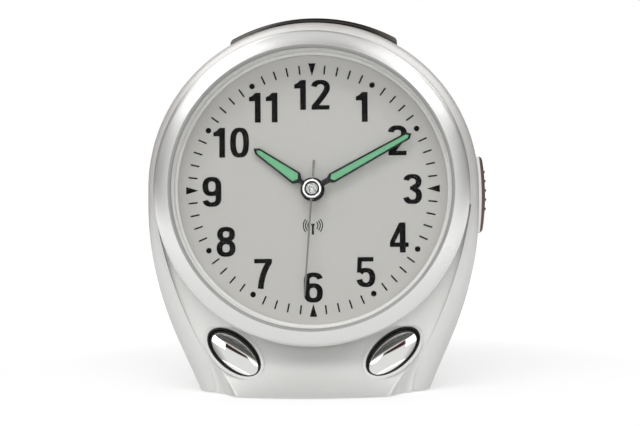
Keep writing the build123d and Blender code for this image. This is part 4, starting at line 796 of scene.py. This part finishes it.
def addFloor():
    # White where it is seen; reflections find it dark and warm far behind the clock
    half = floor["half"]
    corners = [(-half, -half, 0), (half, -half, 0), (half, half, 0), (-half, half, 0)]
    mesh = bpy.data.meshes.new("floor")
    mesh.from_pydata(corners, [], [(0, 1, 2, 3)])
    made = bpy.data.objects.new("floor", mesh)
    bpy.context.scene.collection.objects.link(made)
    material, tree, shader = newMaterial("floor_white")
    shader.inputs["Roughness"].default_value = 0.9
    shader.inputs["Specular IOR Level"].default_value = 0.0
    shader.inputs["Emission Color"].default_value = (1, 1, 1, 1)
    spot = addNode(tree, "ShaderNodeTexCoord")
    split = addNode(tree, "ShaderNodeSeparateXYZ")
    reach = addNode(tree, "ShaderNodeVectorMath", operation="LENGTH")
    tree.links.new(spot.outputs["Object"], split.inputs[0])
    tree.links.new(spot.outputs["Object"], reach.inputs[0])
    near = rangeOf(tree, split.outputs["Y"], 1.0, 0.0, *floor["farSpan"])
    tree.links.new(colourMix(tree, near, floor["far"], floor["near"]), shader.inputs["Base Color"])
    path = addNode(tree, "ShaderNodeLightPath")
    glossy = combine(tree, "MULTIPLY", path.outputs["Is Glossy Ray"], near)
    seen = combine(tree, "MAXIMUM", path.outputs["Is Camera Ray"], path.outputs["Is Transmission Ray"])
    either = combine(tree, "MAXIMUM", seen, glossy)
    glow = rangeOf(tree, reach.outputs["Value"], *floor["glow"], *floor["glowSpan"])
    tree.links.new(combine(tree, "MULTIPLY", either, glow), shader.inputs["Emission Strength"])
    mesh.materials.append(material)


addFloor()


# What reflections see, by direction: spans are of x for the sides, z for the heights and y for the back
room = {"light": 0.56, "front": (0.86, 0.86, 0.85), "side": (0.12, 0.12, 0.12), "sideSpan": (0.55, 0.85),
        "warm": (0.055, 0.028, 0.024), "warmSpan": (0.62, 0.66), "ceiling": (0.62, 0.62, 0.62),
        "highSpan": (0.80, 0.84), "back": (0.10, 0.055, 0.045), "backSpan": (0.05, 0.35)}


def addWorld():
    # White for sight and even for light; reflections see a pale front that dims to the sides, a dark warm
    # band, a grey ceiling and a dark warm room behind
    world = bpy.data.worlds.new("studio")
    bpy.context.scene.world = world
    world.use_nodes = True
    tree = world.node_tree
    light = tree.nodes["Background"]
    light.inputs["Color"].default_value = (1, 1, 1, 1)
    light.inputs["Strength"].default_value = room["light"]
    white = addNode(tree, "ShaderNodeBackground", Strength=1.0)
    white.inputs["Color"].default_value = (1, 1, 1, 1)
    path = addNode(tree, "ShaderNodeLightPath")
    mix = addNode(tree, "ShaderNodeMixShader")
    seen = combine(tree, "MAXIMUM", path.outputs["Is Camera Ray"], path.outputs["Is Transmission Ray"])
    tree.links.new(seen, mix.inputs[0])
    coordinate = addNode(tree, "ShaderNodeTexCoord")
    split = addNode(tree, "ShaderNodeSeparateXYZ")
    tree.links.new(coordinate.outputs["Generated"], split.inputs[0])
    aside = combine(tree, "ABSOLUTE", split.outputs["X"])
    side = rangeOf(tree, aside, 0.0, 1.0, *room["sideSpan"])
    warm = rangeOf(tree, split.outputs["Z"], 0.0, 1.0, *room["warmSpan"])
    high = rangeOf(tree, split.outputs["Z"], 0.0, 1.0, *room["highSpan"])
    back = rangeOf(tree, split.outputs["Y"], 0.0, 1.0, *room["backSpan"])
    shade = colourMix(tree, side, room["front"], room["side"])
    for factor, colour in ((warm, room["warm"]), (high, room["ceiling"]), (back, room["back"])):
        shade = overlay(tree, shade, factor, colour)
    mirrored = addNode(tree, "ShaderNodeBackground", Strength=1.0)
    tree.links.new(shade, mirrored.inputs["Color"])
    reflect = addNode(tree, "ShaderNodeMixShader")
    tree.links.new(path.outputs["Is Glossy Ray"], reflect.inputs[0])
    tree.links.new(light.outputs[0], reflect.inputs[1])
    tree.links.new(mirrored.outputs[0], reflect.inputs[2])
    tree.links.new(reflect.outputs[0], mix.inputs[1])
    tree.links.new(white.outputs[0], mix.inputs[2])
    tree.links.new(mix.outputs[0], tree.nodes["World Output"].inputs["Surface"])


addWorld()


# Lamps, in the direction given by turn to the right of the front and rise, in degrees; sizes in metres.
# A gleam shows only in reflections, the others only light what they shine on
lampAim = 0.06
gleams = {
    "left_gleam": {"turn": -46, "rise": 44, "distance": 1.1, "size": (0.6, 0.55), "power": 2.6},
    "right_gleam": {"turn": 46, "rise": 44, "distance": 1.1, "size": (0.55, 0.55), "power": 1.9},
    "left_rim": {"turn": -110, "rise": 55, "distance": 1.1, "size": (0.8, 0.7), "power": 3.4},
    "right_rim": {"turn": 110, "rise": 50, "distance": 1.1, "size": (0.8, 0.7), "power": 2.8},
}
softBoxes = {
    "front_box": {"turn": 0, "rise": 3, "distance": 1.3, "size": (1.4, 0.5), "power": 7.9},
    "top_box": {"turn": -6, "rise": 50, "distance": 1.2, "size": (1.0, 0.5), "power": 4.5},
}


def addLamp(name, turn, rise, distance, size, power, gleam):
    a, b = radians(turn), radians(rise)
    heading = Vector((sin(a) * cos(b), -cos(a) * cos(b), sin(b)))
    data = bpy.data.lights.new(name, "AREA")
    data.shape = "RECTANGLE"
    data.size, data.size_y = size
    data.energy = power
    made = bpy.data.objects.new(name, data)
    bpy.context.scene.collection.objects.link(made)
    made.location = Vector((0, 0, lampAim)) + distance * heading
    made.rotation_euler = (-heading).to_track_quat("-Z", "Y").to_euler()
    made.visible_diffuse = not gleam
    made.visible_glossy = gleam


for name, values in gleams.items():
    addLamp(name, **values, gleam=True)
for name, values in softBoxes.items():
    addLamp(name, **values, gleam=False)
bpy.context.scene.view_settings.view_transform = "Standard"
print("camera, floor and lamps done")

print("scene ready")
